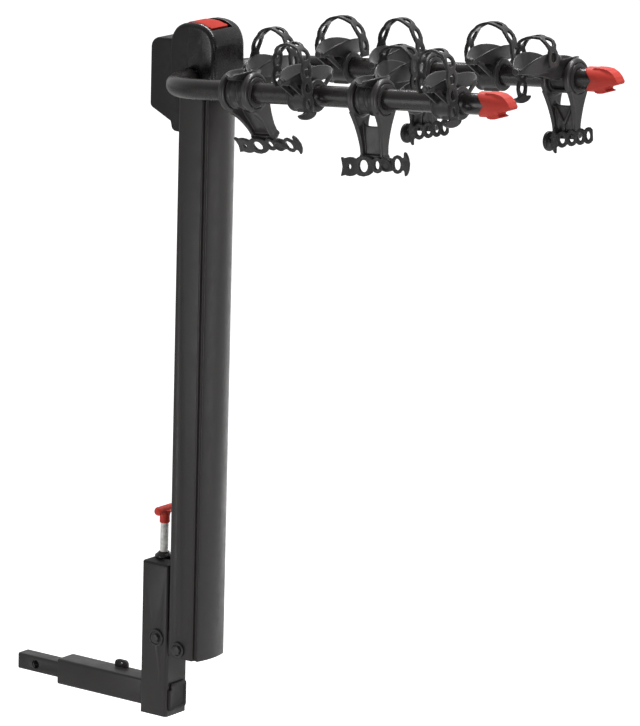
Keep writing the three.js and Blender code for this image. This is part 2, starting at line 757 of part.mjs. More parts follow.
// swinging stay: two rings that turn on the saddle hub, joined by a curved web below
const swayArm = () => {
  const web = new THREE.Shape();
  web.moveTo(-28, -30);
  web.quadraticCurveTo(-24, -60, -27, STAY_FOOT);
  web.lineTo(27, STAY_FOOT);
  web.quadraticCurveTo(24, -60, 28, -30);
  web.quadraticCurveTo(0, -46, -28, -30);
  const ring = (x) => cyl("x", RING_R, x - 4.5, x + 4.5, 0, 0, 20);
  const bore = cyl("x", RING_IN, -60, 60, 0, 0, 20);
  const rib = (x) => box(x - 2.5, x + 2.5, -9, 9, STAY_FOOT + 6, -30);
  const body = union(ring(-23.5), ring(23.5), slabXZ(web, -4, 4), rib(-22.5), rib(22.5));
  return cut(body, bore);
};

const SWAY_SLOPE = 0.085; // the foot strap rises toward the arm's end

// ladder strap across the near face of a stay's foot, with a fishtail end
const swayStrap = () => {
  const [back, front] = [-10, -16];
  const s = new THREE.Shape();
  const rise = (x) => -118 + SWAY_SLOPE * x;
  s.moveTo(-69, rise(-69) - 15);
  s.lineTo(74, rise(74) - 15);
  s.lineTo(79, rise(79) - 21);
  s.lineTo(85, rise(85) - 21);
  s.lineTo(85, rise(85) + 21);
  s.lineTo(79, rise(79) + 21);
  s.lineTo(74, rise(74) + 15);
  s.lineTo(-69, rise(-69) + 15);
  const band = slabXZ(s, front, back);
  const holes = [-16, 8, 32, 56].map((x) =>
    toSolid(
      new THREE.CylinderGeometry(1, 1, 60, 8).scale(7, 1, 9).translate(x, 0, rise(x)),
    ),
  );
  const clip = box(-48, -38, back, 0, -128, -114);
  return cut(union(band, clip), ...holes, swayFoot());
};

// space taken by the foot of the stay, kept free of the strap
const swayFoot = () => box(-40, 40, -9.3, 9.3, STAY_FOOT - GAP, -20);

// ---------- assembly ----------
const group = (parent, x, y, z) => {
  const g = new THREE.Group();
  g.position.set(x, y, z);
  if (parent) parent.add(g);
  return g;
};

const rack = group(null, 0, 0, 0);
rack.name = "hitch_bike_rack";
const frame = group(rack, 0, 0, -BAR / 2);
const add = (parent, name, solid, material) => {
  const mesh = toMesh(name, solid, material);
  parent.add(mesh);
  return mesh;
};

const nearPost = -POST / 2 - GAP;
const nearMast = -MAST_HALF - GAP;
add(frame, "hitch_bar", hitchBar(), paint());
add(frame, "hitch_sleeve", hitchSleeve(), paint());
add(frame, "sleeve_spacer_inner", sleeveSpacer(SLEEVE_START + 1, SLEEVE_START + 19), zinc());
add(frame, "sleeve_spacer_outer", sleeveSpacer(240, 258), zinc());
add(frame, "sleeve_lug", sleeveLug(), paint());
add(frame, "lower_post", lowerPost(), paint());
add(frame, "post_cap", postCap(), plastic());
add(frame, "pin_guide", pinGuide(), plastic());
add(frame, "bar_end_plug", barEndPlug(), plastic());
add(frame, "bracket_bolt", bolt(BRACKET_BOLT, nearPost, 48, 16.5), paint());
add(frame, "bracket_nut", nut(BRACKET_BOLT, POST / 2 + GAP), zinc());
add(frame, "pivot_bracket", pivotBracket(), zinc());
add(frame, "pivot_spacer_near", pivotSpacer(-1), plastic());
add(frame, "pivot_spacer_far", pivotSpacer(1), plastic());
add(frame, "pivot_bolt", bolt(PIVOT, nearMast, 60, 14.5), paint());
add(frame, "pivot_nut", nut(PIVOT, MAST_HALF + GAP), zinc());
add(frame, "lock_pin", lockPin(), zinc());
add(frame, "lock_knob", lockKnob(), red());
add(frame, "lock_spring", lockSpring(), zinc());

add(frame, "mast_tube", mastTube(), paint());
add(frame, "latch_tongue", latchTongue(), paint());
add(frame, "head_bracket", headBracket(), paint());
add(frame, "hub_bush_near", hubBush(-1), plastic());
add(frame, "hub_bush_far", hubBush(1), plastic());
add(frame, "head_cover_rear", headCoverRear(), plastic());
add(frame, "head_cover_front", headCoverFront(), plastic());
add(frame, "mechanism_housing", mechanismHousing(), plastic());
add(frame, "lever_pin", crossPin(LEVER.x, LEVER.z), zinc());
add(frame, "pawl_pin", crossPin(PAWL.x, PAWL.z), zinc());
add(frame, "release_lever", releaseLever(), red());
add(frame, "pawl", pawl(), zinc());
add(frame, "pawl_spring", pawlSpring(), zinc());

const arms = group(frame, HUB.x, 0, HUB.z);
arms.rotation.y = -ARM_TILT;
add(arms, "arm_tube", armTube(), paint());
add(arms, "fold_ratchet", foldRatchet(), zinc());
add(arms, "end_cap_near", endCap(), red()).position.y = -ARM_HALF;
add(arms, "end_cap_far", endCap(), red()).position.y = ARM_HALF;

// x is a cradle's place along its arm from the hub axis; swing is how far a stay hangs turned
// about its arm, in degrees
const ARMS = {
  near: [
    { x: 212, strap: SWAY_LOOP, stay: true, swing: 35 },
    { x: 354, strap: TIGHT, stay: false },
    { x: 498, strap: SWAY_TIGHT, stay: true, swing: 0 },
    { x: 668, strap: TIGHT, stay: false },
  ],
  far: [
    { x: 187, strap: LOOP, stay: false },
    { x: 365, strap: SWAY_LOOP, stay: true, swing: 0 },
    { x: 524, strap: LOOP, stay: false },
    { x: 680, strap: SWAY_TIGHT, stay: true, swing: 0 },
  ],
};
for (const [label, cradles] of Object.entries(ARMS)) {
  const side = label === "near" ? -1 : 1;
  cradles.forEach(({ x, strap, stay, swing }, i) => {
    const tag = `${label}_${i + 1}`;
    const cradle = group(arms, x, side * ARM_HALF, 0);
    const band = strap.tight ? tightStrap(side, strap) : loopStrap(side, strap);
    add(cradle, `strap_${tag}`, band, rubber());
    if (!stay) {
      add(cradle, `plain_saddle_${tag}`, plainSaddle(side, strap), rubber());
      return;
    }
    add(cradle, `sway_saddle_${tag}`, swaySaddle(side, strap), rubber());
    const hanger = group(cradle, 0, 0, 0);
    hanger.rotation.x = THREE.MathUtils.degToRad(swing);
    add(hanger, `sway_arm_${tag}`, swayArm(), plastic());
    add(hanger, `sway_strap_${tag}`, swayStrap(), rubber());
  });
}

export default rack;
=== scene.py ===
"""Looks for a hitch mounted hanging bike rack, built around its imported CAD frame.

Shapes are drawn in millimetres and placed in the rack's frame from its CAD boxes and joints.
"""
import json
from collections import namedtuple
from math import atan2, copysign, cos, pi, radians, sin, sqrt, tan

import bmesh
import bpy
from mathutils import Matrix, Vector


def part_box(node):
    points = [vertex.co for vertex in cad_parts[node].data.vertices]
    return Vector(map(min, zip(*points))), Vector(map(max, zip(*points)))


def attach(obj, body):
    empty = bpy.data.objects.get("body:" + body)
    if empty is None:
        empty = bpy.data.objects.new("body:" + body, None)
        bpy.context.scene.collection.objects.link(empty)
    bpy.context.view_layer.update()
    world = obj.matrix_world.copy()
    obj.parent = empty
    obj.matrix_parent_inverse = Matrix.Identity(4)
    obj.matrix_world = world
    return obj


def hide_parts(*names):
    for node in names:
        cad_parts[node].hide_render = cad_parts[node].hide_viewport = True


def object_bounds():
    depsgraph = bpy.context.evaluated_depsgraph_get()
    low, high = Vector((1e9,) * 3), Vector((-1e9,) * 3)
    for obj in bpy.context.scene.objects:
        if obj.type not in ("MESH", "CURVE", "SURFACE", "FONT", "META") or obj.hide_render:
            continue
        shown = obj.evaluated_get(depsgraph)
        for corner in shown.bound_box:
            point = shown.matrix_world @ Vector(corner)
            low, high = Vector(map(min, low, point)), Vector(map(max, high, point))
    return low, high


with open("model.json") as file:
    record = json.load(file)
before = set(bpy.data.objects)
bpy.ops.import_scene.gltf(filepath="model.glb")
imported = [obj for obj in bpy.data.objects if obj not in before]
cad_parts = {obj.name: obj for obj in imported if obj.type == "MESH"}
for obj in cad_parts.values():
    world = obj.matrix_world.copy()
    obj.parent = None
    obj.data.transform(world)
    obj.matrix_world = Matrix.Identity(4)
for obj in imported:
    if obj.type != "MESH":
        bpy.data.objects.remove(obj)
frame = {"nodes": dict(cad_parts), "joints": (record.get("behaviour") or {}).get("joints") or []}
cad_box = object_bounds()

MM = 0.001
GAP = 0.3  # between pieces that are welded or clipped together
THROUGH = 90  # half length of a cutter that passes right through a piece
JOINTS = {joint["name"]: joint for joint in frame["joints"]}


# ---------- reading the frame, in millimetres ----------
class Box:
    """Extents of a CAD node in millimetres."""

    def __init__(self, node):
        low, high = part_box(node)
        self.x0, self.y0, self.z0 = (c / MM for c in low)
        self.x1, self.y1, self.z1 = (c / MM for c in high)
        self.x = (self.x0 + self.x1) / 2
        self.y = (self.y0 + self.y1) / 2
        self.z = (self.z0 + self.z1) / 2


def pivot(joint):
    """Where a joint turns, in millimetres."""
    return Vector(JOINTS[joint]["pos_m"]) / MM


BAR = Box("hitch_bar")
SLEEVE = Box("hitch_sleeve")
POST = Box("lower_post")
MAST = Box("mast_tube")
HEAD_REAR = Box("head_cover_rear")
HEAD_FRONT = Box("head_cover_front")
HUB = pivot("arms_fold")
ARM_AXIS = Vector(JOINTS["stay_swing_near_1"]["axis"]).normalized()
ARM_HALF = Box("end_cap_far").y
TUBE_R = 19.05  # arm tube, outside
ARM_LEN = 758.0  # from the hinge to the end of the tube
ARM_UP = ARM_AXIS.cross(Vector((0, 1, 0)))


def arm_frame(along=0.0, across=0.0, turned=False, swing=0.0):
    """Matrix from a piece drawn about the arm, x along it and z up, to the rack's frame.

    A piece drawn for the near arm is turned to face inward on the far one.
    """
    columns = Matrix((ARM_AXIS, Vector((0, 1, 0)), ARM_UP)).transposed().to_4x4()
    origin = HUB + ARM_AXIS * along + Vector((0, across, 0))
    spin = Matrix.Rotation(pi if turned else 0.0, 4, "Z")
    roll = Matrix.Rotation(swing, 4, "X")
    return Matrix.Translation(origin) @ columns @ roll @ spin


def along_arm(point):
    return (point - HUB).dot(ARM_AXIS)


# ---------- mesh helpers ----------
def add_to_scene(obj):
    bpy.context.scene.collection.objects.link(obj)
    return obj


def new_object(verts, faces):
    mesh = bpy.data.meshes.new("shape")
    mesh.from_pydata([tuple(v) for v in verts], [], faces)
    mesh.validate()
    return add_to_scene(bpy.data.objects.new("shape", mesh))


def outward(obj):
    """Turns all faces outward."""
    work = bmesh.new()
    work.from_mesh(obj.data)
    bmesh.ops.recalc_face_normals(work, faces=work.faces)
    work.to_mesh(obj.data)
    work.free()
    return obj


def bake(obj):
    """Applies the object's modifiers."""
    bpy.context.view_layer.update()
    graph = bpy.context.evaluated_depsgraph_get()
    mesh = bpy.data.meshes.new_from_object(obj.evaluated_get(graph))
    obj.modifiers.clear()
    obj.data = mesh
    return obj


def loft(rings, loop=False):
    """Closed solid through rings of points; each ring closes on itself."""
    count = len(rings[0])
    verts = [point for ring in rings for point in ring]
    faces = []
    pairs = len(rings) if loop else len(rings) - 1
    for i in range(pairs):
        a, b = i * count, (i + 1) % len(rings) * count
        for k in range(count):
            n = (k + 1) % count
            faces.append((a + k, a + n, b + n, b + k))
    if not loop:
        faces.append(tuple(range(count)))
        last = (len(rings) - 1) * count
        faces.append(tuple(range(last, last + count)))
    return outward(new_object(verts, faces))


PLANES = {
    "x": lambda u, v, d: (d, u, v),
    "y": lambda u, v, d: (u, d, v),
    "z": lambda u, v, d: (u, v, d),
}


def prism(outline, axis, a, b):
    """An outline drawn in the plane square to the axis, drawn out from a to b."""
    at = PLANES[axis]
    return loft([[at(u, v, d) for u, v in outline] for d in (a, b)])


def hollow(outer, inner, axis, a, b):
    """Tube with matching outer and inner outlines."""
    at = PLANES[axis]
    rings = [(outer, a), (outer, b), (inner, b), (inner, a)]
    return loft([[at(u, v, d) for u, v in line] for line, d in rings], loop=True)


def lathe(profile, axis="x", centre=(0, 0), steps=48):
    """Closed ring or solid turned about an axis; profile is a loop of (distance, radius)."""
    at = PLANES[axis]
    count = len(profile)
    verts, faces = [], []
    for i in range(steps):
        angle = 2 * pi * i / steps
        c, s = cos(angle), sin(angle)
        verts += [at(centre[0] + r * c, centre[1] + r * s, d) for d, r in profile]
        a, b = i * count, (i + 1) % steps * count
        for k in range(count):
            n = (k + 1) % count
            if profile[k][1] > 0 or profile[n][1] > 0:
                faces.append((a + k, a + n, b + n, b + k))
    return outward(bake(weld(new_object(verts, faces), 0.001)))


def block(x0, x1, y0, y1, z0, z1):
    return prism([(x0, y0), (x1, y0), (x1, y1), (x0, y1)], "z", z0, z1)


def angles(start, end, steps):
    """Evenly spaced angles in radians, from start to end in degrees."""
    return [radians(start + (end - start) * i / steps) for i in range(steps + 1)]


def arc(u, v, r, start, end, steps):
    return [(u + r * cos(a), v + r * sin(a)) for a in angles(start, end, steps)]


def circle(u, v, r):
    return arc(u, v, r, 0, 352.5, 47)


def rounded(u0, u1, v0, v1, r, steps=6):
    """Rectangle with round corners."""
    corners = [(u1 - r, v1 - r, 0), (u0 + r, v1 - r, 90)]
    corners += [(u0 + r, v0 + r, 180), (u1 - r, v0 + r, 270)]
    return [p for u, v, a in corners for p in arc(u, v, r, a, a + 90, steps)]


def weld(obj, distance):
    modifier = obj.modifiers.new("weld", "WELD")
    modifier.merge_threshold = distance
    return obj


def bevel(obj, width, steps, angle):
    modifier = obj.modifiers.new("bevel", "BEVEL")
    modifier.width = width
    modifier.segments = steps
    modifier.limit_method = "ANGLE"
    modifier.angle_limit = radians(angle)
    return obj


def ease(obj, width, steps=2, angle=32):
    """Bevels the edges where faces meet at more than the angle."""
    return bake(bevel(obj, width, steps, angle))


def combine(obj, others, operation="DIFFERENCE"):
    """Boolean of an object with others, which are used up."""
    for other in others:
        modifier = obj.modifiers.new("cut", "BOOLEAN")
        modifier.operation = operation
        modifier.solver = "EXACT"
        modifier.object = other
    bake(obj)
    for other in others:
        bpy.data.objects.remove(other)
    return obj


def join(parts):
    verts, faces = [], []
    for part in parts:
        start = len(verts)
        verts += [v.co.copy() for v in part.data.vertices]
        faces += [tuple(start + i for i in p.vertices) for p in part.data.polygons]
        bpy.data.objects.remove(part)
    return new_object(verts, faces)


def voxels(obj, size):
    modifier = obj.modifiers.new("voxels", "REMESH")
    modifier.mode = "VOXEL"
    modifier.voxel_size = size
    return obj


def fuse(parts, voxel, soften, keep=0.3):
    """One moulded solid from overlapping closed parts, with its corners blended."""
    solid = voxels(join(parts), voxel)
    smooth = solid.modifiers.new("soften", "SMOOTH")
    smooth.factor = 0.5
    smooth.iterations = soften
    thin = solid.modifiers.new("thin", "DECIMATE")
    thin.ratio = keep
    return bake(solid)


def shade(obj, angle=40):
    """Smooth shading with sharp edges kept where faces meet at more than the angle."""
    for polygon in obj.data.polygons:
        polygon.use_smooth = True
    obj.data.set_sharp_from_angle(angle=radians(angle))
    return obj


def copy(obj):
    made = obj.copy()
    made.data = obj.data.copy()
    return add_to_scene(made)


def place(obj, name, body, look, node, matrix=Matrix.Identity(4)):
    """Names a finished shape, moves it to the rack's frame and stands it in for a CAD node."""
    obj.name = name
    obj.data.name = name
    obj.data.transform(Matrix.Scale(MM, 4) @ matrix)
    obj.data.materials.clear()
    obj.data.materials.append(LOOKS[look])
    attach(obj, body)
    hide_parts(node)


# ---------- materials ----------
class Nodes:
    """A node tree with the steps that the finishes and the surround share."""

    def __init__(self, tree):
        self.tree = tree

    def node(self, kind, **settings):
        made = self.tree.nodes.new(kind)
        for key, value in settings.items():
            setattr(made, key, value)
        return made

    def link(self, source, target):
        self.tree.links.new(source, target)

    def remap(self, value, low, high, to_low, to_high):
        ranged = self.node("ShaderNodeMapRange")
        limits = {"From Min": low, "From Max": high, "To Min": to_low, "To Max": to_high}
        for name, limit in limits.items():
            ranged.inputs[name].default_value = limit
        self.link(value, ranged.inputs["Value"])
        return ranged.outputs["Result"]

    def seen_by_camera(self):
        return self.node("ShaderNodeLightPath").outputs["Is Camera Ray"]


class Look(Nodes):
    """A material built from noise, grain, lighter edges and bumps; the lighter edges are partly wear
    and partly painted highlight.
    """

    def __init__(self, name, roughness, metallic=0.0, specular=0.5):
        self.material = bpy.data.materials.new(name)
        self.material.use_nodes = True
        super().__init__(self.material.node_tree)
        self.shader = self.tree.nodes["Principled BSDF"]
        self.set("Roughness", roughness)
        self.set("Metallic", metallic)
        self.set("Specular IOR Level", specular)
        self.place = self.node("ShaderNodeTexCoord").outputs["Object"]
        self.normal = None

    def noise(self, scale, detail=3.0, stretch=(1, 1, 1)):
        """Noise with about `scale` blobs to the metre."""
        mapping = self.node("ShaderNodeMapping")
        mapping.inputs["Scale"].default_value = stretch
        self.link(self.place, mapping.inputs["Vector"])
        noise = self.node("ShaderNodeTexNoise")
        noise.inputs["Scale"].default_value = scale
        noise.inputs["Detail"].default_value = detail
        self.link(mapping.outputs["Vector"], noise.inputs["Vector"])
        return noise.outputs["Fac"]

    def grain(self, scale):
        """Cells of a spark eroded mould."""
        cells = self.node("ShaderNodeTexVoronoi")
        cells.inputs["Scale"].default_value = scale
        self.link(self.place, cells.inputs["Vector"])
        return cells.outputs["Distance"]

    def mix(self, factor, a, b):
        """Blend of two colours; each is a colour or a socket."""
        mixer = self.node("ShaderNodeMix", data_type="RGBA")
        for socket, value in ((mixer.inputs[6], a), (mixer.inputs[7], b)):
            if isinstance(value, tuple):
                socket.default_value = (*value, 1)
            else:
                self.link(value, socket)
        self.link(factor, mixer.inputs[0])
        return mixer.outputs[2]

    def edges(self, radius):
        """1 on edges, 0 on flats."""
        rounded_normal = self.node("ShaderNodeBevel", samples=4)
        rounded_normal.inputs["Radius"].default_value = radius
        flat = self.node("ShaderNodeNewGeometry").outputs["Normal"]
        dot = self.node("ShaderNodeVectorMath", operation="DOT_PRODUCT")
        self.link(rounded_normal.outputs["Normal"], dot.inputs[0])
        self.link(flat, dot.inputs[1])
        return self.remap(dot.outputs["Value"], 0.98, 0.8, 0.0, 1.0)

    def edge_wear_and_highlight(self, radius, scale, low, high, least, most):
        """Lighter edges, broken up by noise: partly wear, partly painted highlight."""
        patches = self.remap(self.noise(scale, 5), low, high, least, most)
        product = self.node("ShaderNodeMath", operation="MULTIPLY")
        self.link(self.edges(radius), product.inputs[0])
        self.link(patches, product.inputs[1])
        return product.outputs[0]

    def vary_roughness(self, noise, low, high, least, most):
        self.set("Roughness", self.remap(noise, low, high, least, most))

    def bump(self, height, strength, distance):
        bump = self.node("ShaderNodeBump")
        bump.inputs["Strength"].default_value = strength
        bump.inputs["Distance"].default_value = distance
        self.link(height, bump.inputs["Height"])
        if self.normal is not None:
            self.link(self.normal, bump.inputs["Normal"])
        self.normal = bump.outputs["Normal"]
        self.link(self.normal, self.shader.inputs["Normal"])

    def set(self, name, value):
        socket = self.shader.inputs[name]
        if hasattr(value, "is_output"):
            self.link(value, socket)
        else:
            socket.default_value = value


def powder_coat(name, rough, peel=1.0):
    """Satin powder coat: orange peel scaled by peel, faint mottling and lighter edges, partly wear and
    partly a painted highlight.
    """
    look = Look(name, rough)
    body = look.mix(look.noise(14, 4), (0.0135, 0.0112, 0.011), (0.019, 0.016, 0.0155))
    # lighter edges: partly worn paint, partly a painted highlight where light would catch the edges
    edge_wear_and_highlight = look.edge_wear_and_highlight(0.0012, 90, 0.4, 0.65, 0.1, 0.8)
    look.set("Base Color", look.mix(edge_wear_and_highlight, body, (0.11, 0.10, 0.097)))
    look.vary_roughness(look.noise(55, 5), 0.3, 0.7, rough - 0.05, rough + 0.07)
    look.bump(look.noise(420, 2), 0.16 * peel, 0.0006)
    look.bump(look.noise(1500, 1), 0.1 * peel, 0.0002)
    return look.material


def moulded(name, dark, light, rough, grain_scale, grain_depth, specular=0.5):
    """Moulded plastic: fine grain, slight flow mottling and rubbed edges."""
    look = Look(name, rough, specular=specular)
    body = look.mix(look.noise(22, 4), dark, light)
    rubbed = tuple(min(1.0, 2.2 * c + 0.02) for c in light)
    edge_wear_and_highlight = look.edge_wear_and_highlight(0.001, 120, 0.4, 0.7, 0.1, 0.6)
    look.set("Base Color", look.mix(edge_wear_and_highlight, body, rubbed))
    look.vary_roughness(look.noise(70, 4), 0.3, 0.7, rough - 0.06, rough + 0.08)
    look.bump(look.grain(grain_scale), grain_depth, 0.0002)
    look.bump(look.noise(60, 3), 0.08, 0.001)
    return look.material


def rubber(name, dark, light, rough):
    """Soft rubber: matt, a little dusty, with a fine uneven skin."""
    look = Look(name, rough, specular=0.4)
    dust = look.remap(look.noise(160, 6), 0.5, 0.75, 0.0, 0.55)
    body = look.mix(look.noise(30, 3), dark, light)
    look.set("Base Color", look.mix(dust, body, tuple(1.5 * c + 0.012 for c in light)))
    look.vary_roughness(look.noise(200, 3), 0.3, 0.7, rough - 0.08, rough + 0.1)
    look.set("Sheen Weight", 0.12)
    look.set("Sheen Roughness", 0.5)
    look.bump(look.noise(900, 3), 0.14, 0.0003)
    look.bump(look.noise(70, 3), 0.1, 0.001)
    return look.material


def red_moulding(name, rough, depth, specular=0.25):
    """Red plastic with a soft sheen and slightly uneven colour; depth scales the colour."""
    look = Look(name, rough, specular=specular)
    dark = tuple(depth * c for c in (0.56, 0.045, 0.032))
    light = tuple(depth * c for c in (0.66, 0.066, 0.048))
    body = look.mix(look.noise(35, 4), dark, light)
    edge_wear_and_highlight = look.edge_wear_and_highlight(0.001, 140, 0.45, 0.7, 0.0, 0.5)
    look.set("Base Color", look.mix(edge_wear_and_highlight, body, (0.66, 0.12, 0.09)))
    look.vary_roughness(look.noise(90, 4), 0.3, 0.7, rough - 0.06, rough + 0.08)
    look.set("Subsurface Weight", 0.05)
    look.set("Subsurface Radius", (0.003, 0.001, 0.001))
    look.bump(look.grain(1500), 0.1, 0.00015)
    look.bump(look.noise(80, 3), 0.08, 0.0008)
    return look.material


def steel(name, colour, rough, brush, metallic=1.0):
    """Plated steel: drawn streaks, faint clouding of the zinc and dull spots."""
    look = Look(name, rough, metallic)
    clouds = look.noise(120, 5)
    dull = tuple(0.62 * c for c in colour)
    look.set("Base Color", look.mix(look.remap(clouds, 0.35, 0.75, 0.0, 1.0), colour, dull))
    streaks = look.noise(260, 3, stretch=brush)
    look.vary_roughness(streaks, 0.25, 0.75, rough - 0.08, rough + 0.14)
    look.bump(streaks, 0.08, 0.0002)
    return look.material


LOOKS = {
    "paint": powder_coat("powder_coat", 0.38),
    "tube": powder_coat("arm_powder_coat", 0.26, 0.3),
    "fastener": moulded(
        "black_fastener", (0.02, 0.019, 0.019), (0.032, 0.03, 0.03), 0.36, 900, 0.08
    ),
    "cover": moulded(
        "cover_plastic", (0.011, 0.009, 0.009), (0.016, 0.0135, 0.0135), 0.5, 1400, 0.22, 0.3
    ),
    "gloss_cover": moulded(
        "gloss_plastic", (0.008, 0.007, 0.0075), (0.012, 0.0105, 0.011), 0.24, 1800, 0.06
    ),
    "stay": moulded(
        "stay_plastic", (0.023, 0.020, 0.020), (0.032, 0.0285, 0.0285), 0.36, 1500, 0.1, 0.6
    ),
    "cradle": rubber("cradle_rubber", (0.014, 0.0122, 0.0128), (0.021, 0.0188, 0.0192), 0.36),
    "strap": rubber("strap_rubber", (0.010, 0.0088, 0.0092), (0.016, 0.0142, 0.0148), 0.42),
    "red": red_moulding("red_plastic", 0.5, 1.0),
    "lever": red_moulding("red_lever", 0.75, 0.62, 0.1),
    "cap": red_moulding("red_rubber", 0.5, 0.85),
    "zinc": steel("zinc_steel", (0.56, 0.57, 0.56), 0.34, (1, 1, 8)),
    "pin": steel("pin_steel", (1.0, 1.0, 0.95), 0.5, (8, 8, 1), 0.1),
}


# ---------- base: hitch bar, sleeve, lower post and their fittings ----------
BAR_WALL, SQUARE_WALL = 4.8, 4
PIN_HOLE_R = 8.2
BOLT_HOLE_R = 6.4
LOCK_R = 7.9
SLEEVE_HALF = (SLEEVE.y1 - SLEEVE.y0) / 2


def square_tube(half, wall, radius, axis, a, b, centre):
    u, v = centre
    outer = rounded(u - half, u + half, v - half, v + half, radius)
    half -= wall
    inner = rounded(u - half, u + half, v - half, v + half, max(radius - wall, 1.2))
    return hollow(outer, inner, axis, a, b)


def cross_hole(radius, x, z):
    """Cutter for a round hole across the rack."""
    return prism(circle(x, z, radius), "y", -THROUGH, THROUGH)


def make_hitch_bar():
    """Square bar with rounded corners and the cross hole for the hitch pin at X = 0."""
    bar = square_tube(BAR.y1, BAR_WALL, 3.4, "x", BAR.x0, BAR.x1, (0, BAR.z))
    combine(bar, [cross_hole(PIN_HOLE_R, 0, BAR.z)])
    ease(bar, 0.7)
    place(shade(bar), "bar_shell", "base", "paint", "hitch_bar")


def make_sleeve():
    centre = (0, SLEEVE.z)
    sleeve = square_tube(SLEEVE_HALF, SQUARE_WALL, 5.2, "x", SLEEVE.x0, SLEEVE.x1, centre)
    ease(sleeve, 0.8)
    place(shade(sleeve), "sleeve_shell", "base", "paint", "hitch_sleeve")


def make_post():
    """Upright square tube, slotted for the sleeve, the pivot bracket and the latch tongue."""
    half = (POST.x1 - POST.x0) / 2
    post = square_tube(half, SQUARE_WALL, 6, "z", POST.z0, POST.z1, (POST.x, 0))
    room = SLEEVE_HALF + GAP
    bolt, bracket, tongue = Box("bracket_bolt"), Box("pivot_bracket"), Box("latch_tongue")
    front, back = POST.x1 + 9, POST.x0 - 9
    sleeve_slot = block(back, front, -room, room, SLEEVE.z - room, SLEEVE.z + room)
    bracket_slot = block(POST.x, front, bracket.y0, bracket.y1, bracket.z0 - 2, bracket.z1 + 2)
    tongue_slot = block(POST.x, front, -15, 15, tongue.z0 - 1, tongue.z0 + 36)
    hole = cross_hole(BOLT_HOLE_R, bolt.x, bolt.z)
    combine(post, [sleeve_slot, bracket_slot, tongue_slot, hole])
    ease(post, 0.8)
    place(shade(post), "post_shell", "base", "paint", "lower_post")


def make_post_cap():
    """Lid that slopes up from the square tube to a round collar."""
    cap, guide = Box("post_cap"), Box("pin_guide")
    half = (cap.x1 - cap.x0) / 2
    centre = guide.x
    rim = POST.z1 + GAP
    rings = []
    stations = [(half, 6, rim), (half, 6, rim + 2.6)]
    stations += [(half - 1.2, 6, rim + 4.2), (half - 4, 8, rim + 5.2)]
    for reach, radius, z in stations:
        outline = rounded(cap.x - reach, cap.x + reach, -reach, reach, radius, 12)
        rings.append([(x, y, z) for x, y in outline])
    turn = [atan2(y, x - centre) for x, y, _ in rings[0]]
    for radius, z in ((25, rim + 6.5), (20.5, rim + 8.5), (18.2, rim + 9.6)):
        rings.append([(centre + radius * cos(a), radius * sin(a), z) for a in turn])
    lid = loft(rings)
    combine(lid, [prism(circle(centre, 0, 12.3), "z", rim - 5, rim + 30)])
    place(shade(lid, 50), "cap_lid", "base", "cover", "post_cap")


def make_pin_guide():
    """Flared collar that the lock pin slides in."""
    guide = Box("pin_guide")
    top, r = guide.z1, LOCK_R + GAP
    profile = [(guide.z0, r), (guide.z0, 12), (top - 11, 12), (top - 11, 17), (top - 9.5, 17.6)]
    profile += [(top - 7, 17.2), (top - 3, 12.5), (top - 1.2, 10.6), (top, 10), (top, r)]
    collar = lathe(profile, "z", (guide.x, 0))
    ease(collar, 0.5)
    place(shade(collar), "guide_collar", "base", "gloss_cover", "pin_guide")


def make_lock_pin():
    """Bright pin with a chamfered tip, and its red T handle."""
    pin, knob = Box("lock_pin"), Box("lock_knob")
    r = LOCK_R
    x = pin.x
    tip, top = pin.z0, pin.z1
    flange = Box("lock_spring").z0 - 0.4
    profile = [(tip, 0), (tip, r - 2), (tip + 4, r), (flange - 2.4, r), (flange - 2.4, 11)]
    profile += [(flange, 11), (flange, r), (top, r), (top, 0)]
    shaft = lathe(profile, "z", (x, 0))
    ease(shaft, 0.4)
    place(shade(shaft), "pin_shaft", "lock_pin", "pin", "lock_pin")

    reach, grip_r = knob.y1, 8.5
    grip_z = knob.z1 - grip_r
    grip = [(-reach, 0), (-reach, grip_r - 4), (-reach + 1.4, grip_r - 1.8)]
    grip.append((-reach + 4.5, grip_r))
    grip += [(-d, radius) for d, radius in reversed(grip)]
    handle = lathe(grip, "y", (x, grip_z))
    stem = [(knob.z0, 0), (knob.z0, 9.6), (knob.z0 + 1, 10), (knob.z0 + 12, 9.6)]
    stem += [(grip_z, 12), (grip_z, 0)]
    body = fuse([handle, lathe(stem, "z", (x, 0))], 0.8, 6)
    combine(body, [prism(circle(x, 0, r + GAP), "z", knob.z0 - 5, top + GAP)])
    place(shade(body), "knob_body", "lock_pin", "red", "lock_knob")


def make_end_plug():
    """Cover on the outer face of the post, its edge stepped and one corner notched."""
    plug = Box("bar_end_plug")
    face = POST.x1 + GAP
    half = plug.y1
    z = SLEEVE.z
    cover = prism(rounded(-half, half, z - half, z + half, 8), "x", face, plug.x1)
    ease(cover, 1.4, 3)
    border = 7
    core = half - border
    panel = rounded(-core, core, z - core, z + core, 5)
    inset = prism(panel, "x", plug.x1 - 0.9, plug.x1 + 5)
    notch = block(face - 5, plug.x1 + 5, -half - 1, -core, z + half - 12, z + half + 1)
    combine(cover, [inset, notch])
    inner = SLEEVE_HALF - SQUARE_WALL - GAP
    tail = block(plug.x0, face + 1, -inner, inner, z - inner, z + inner)
    combine(cover, [tail], "UNION")
    ease(cover, 0.6)
    place(shade(cover), "plug_cover", "base", "cover", "bar_end_plug")


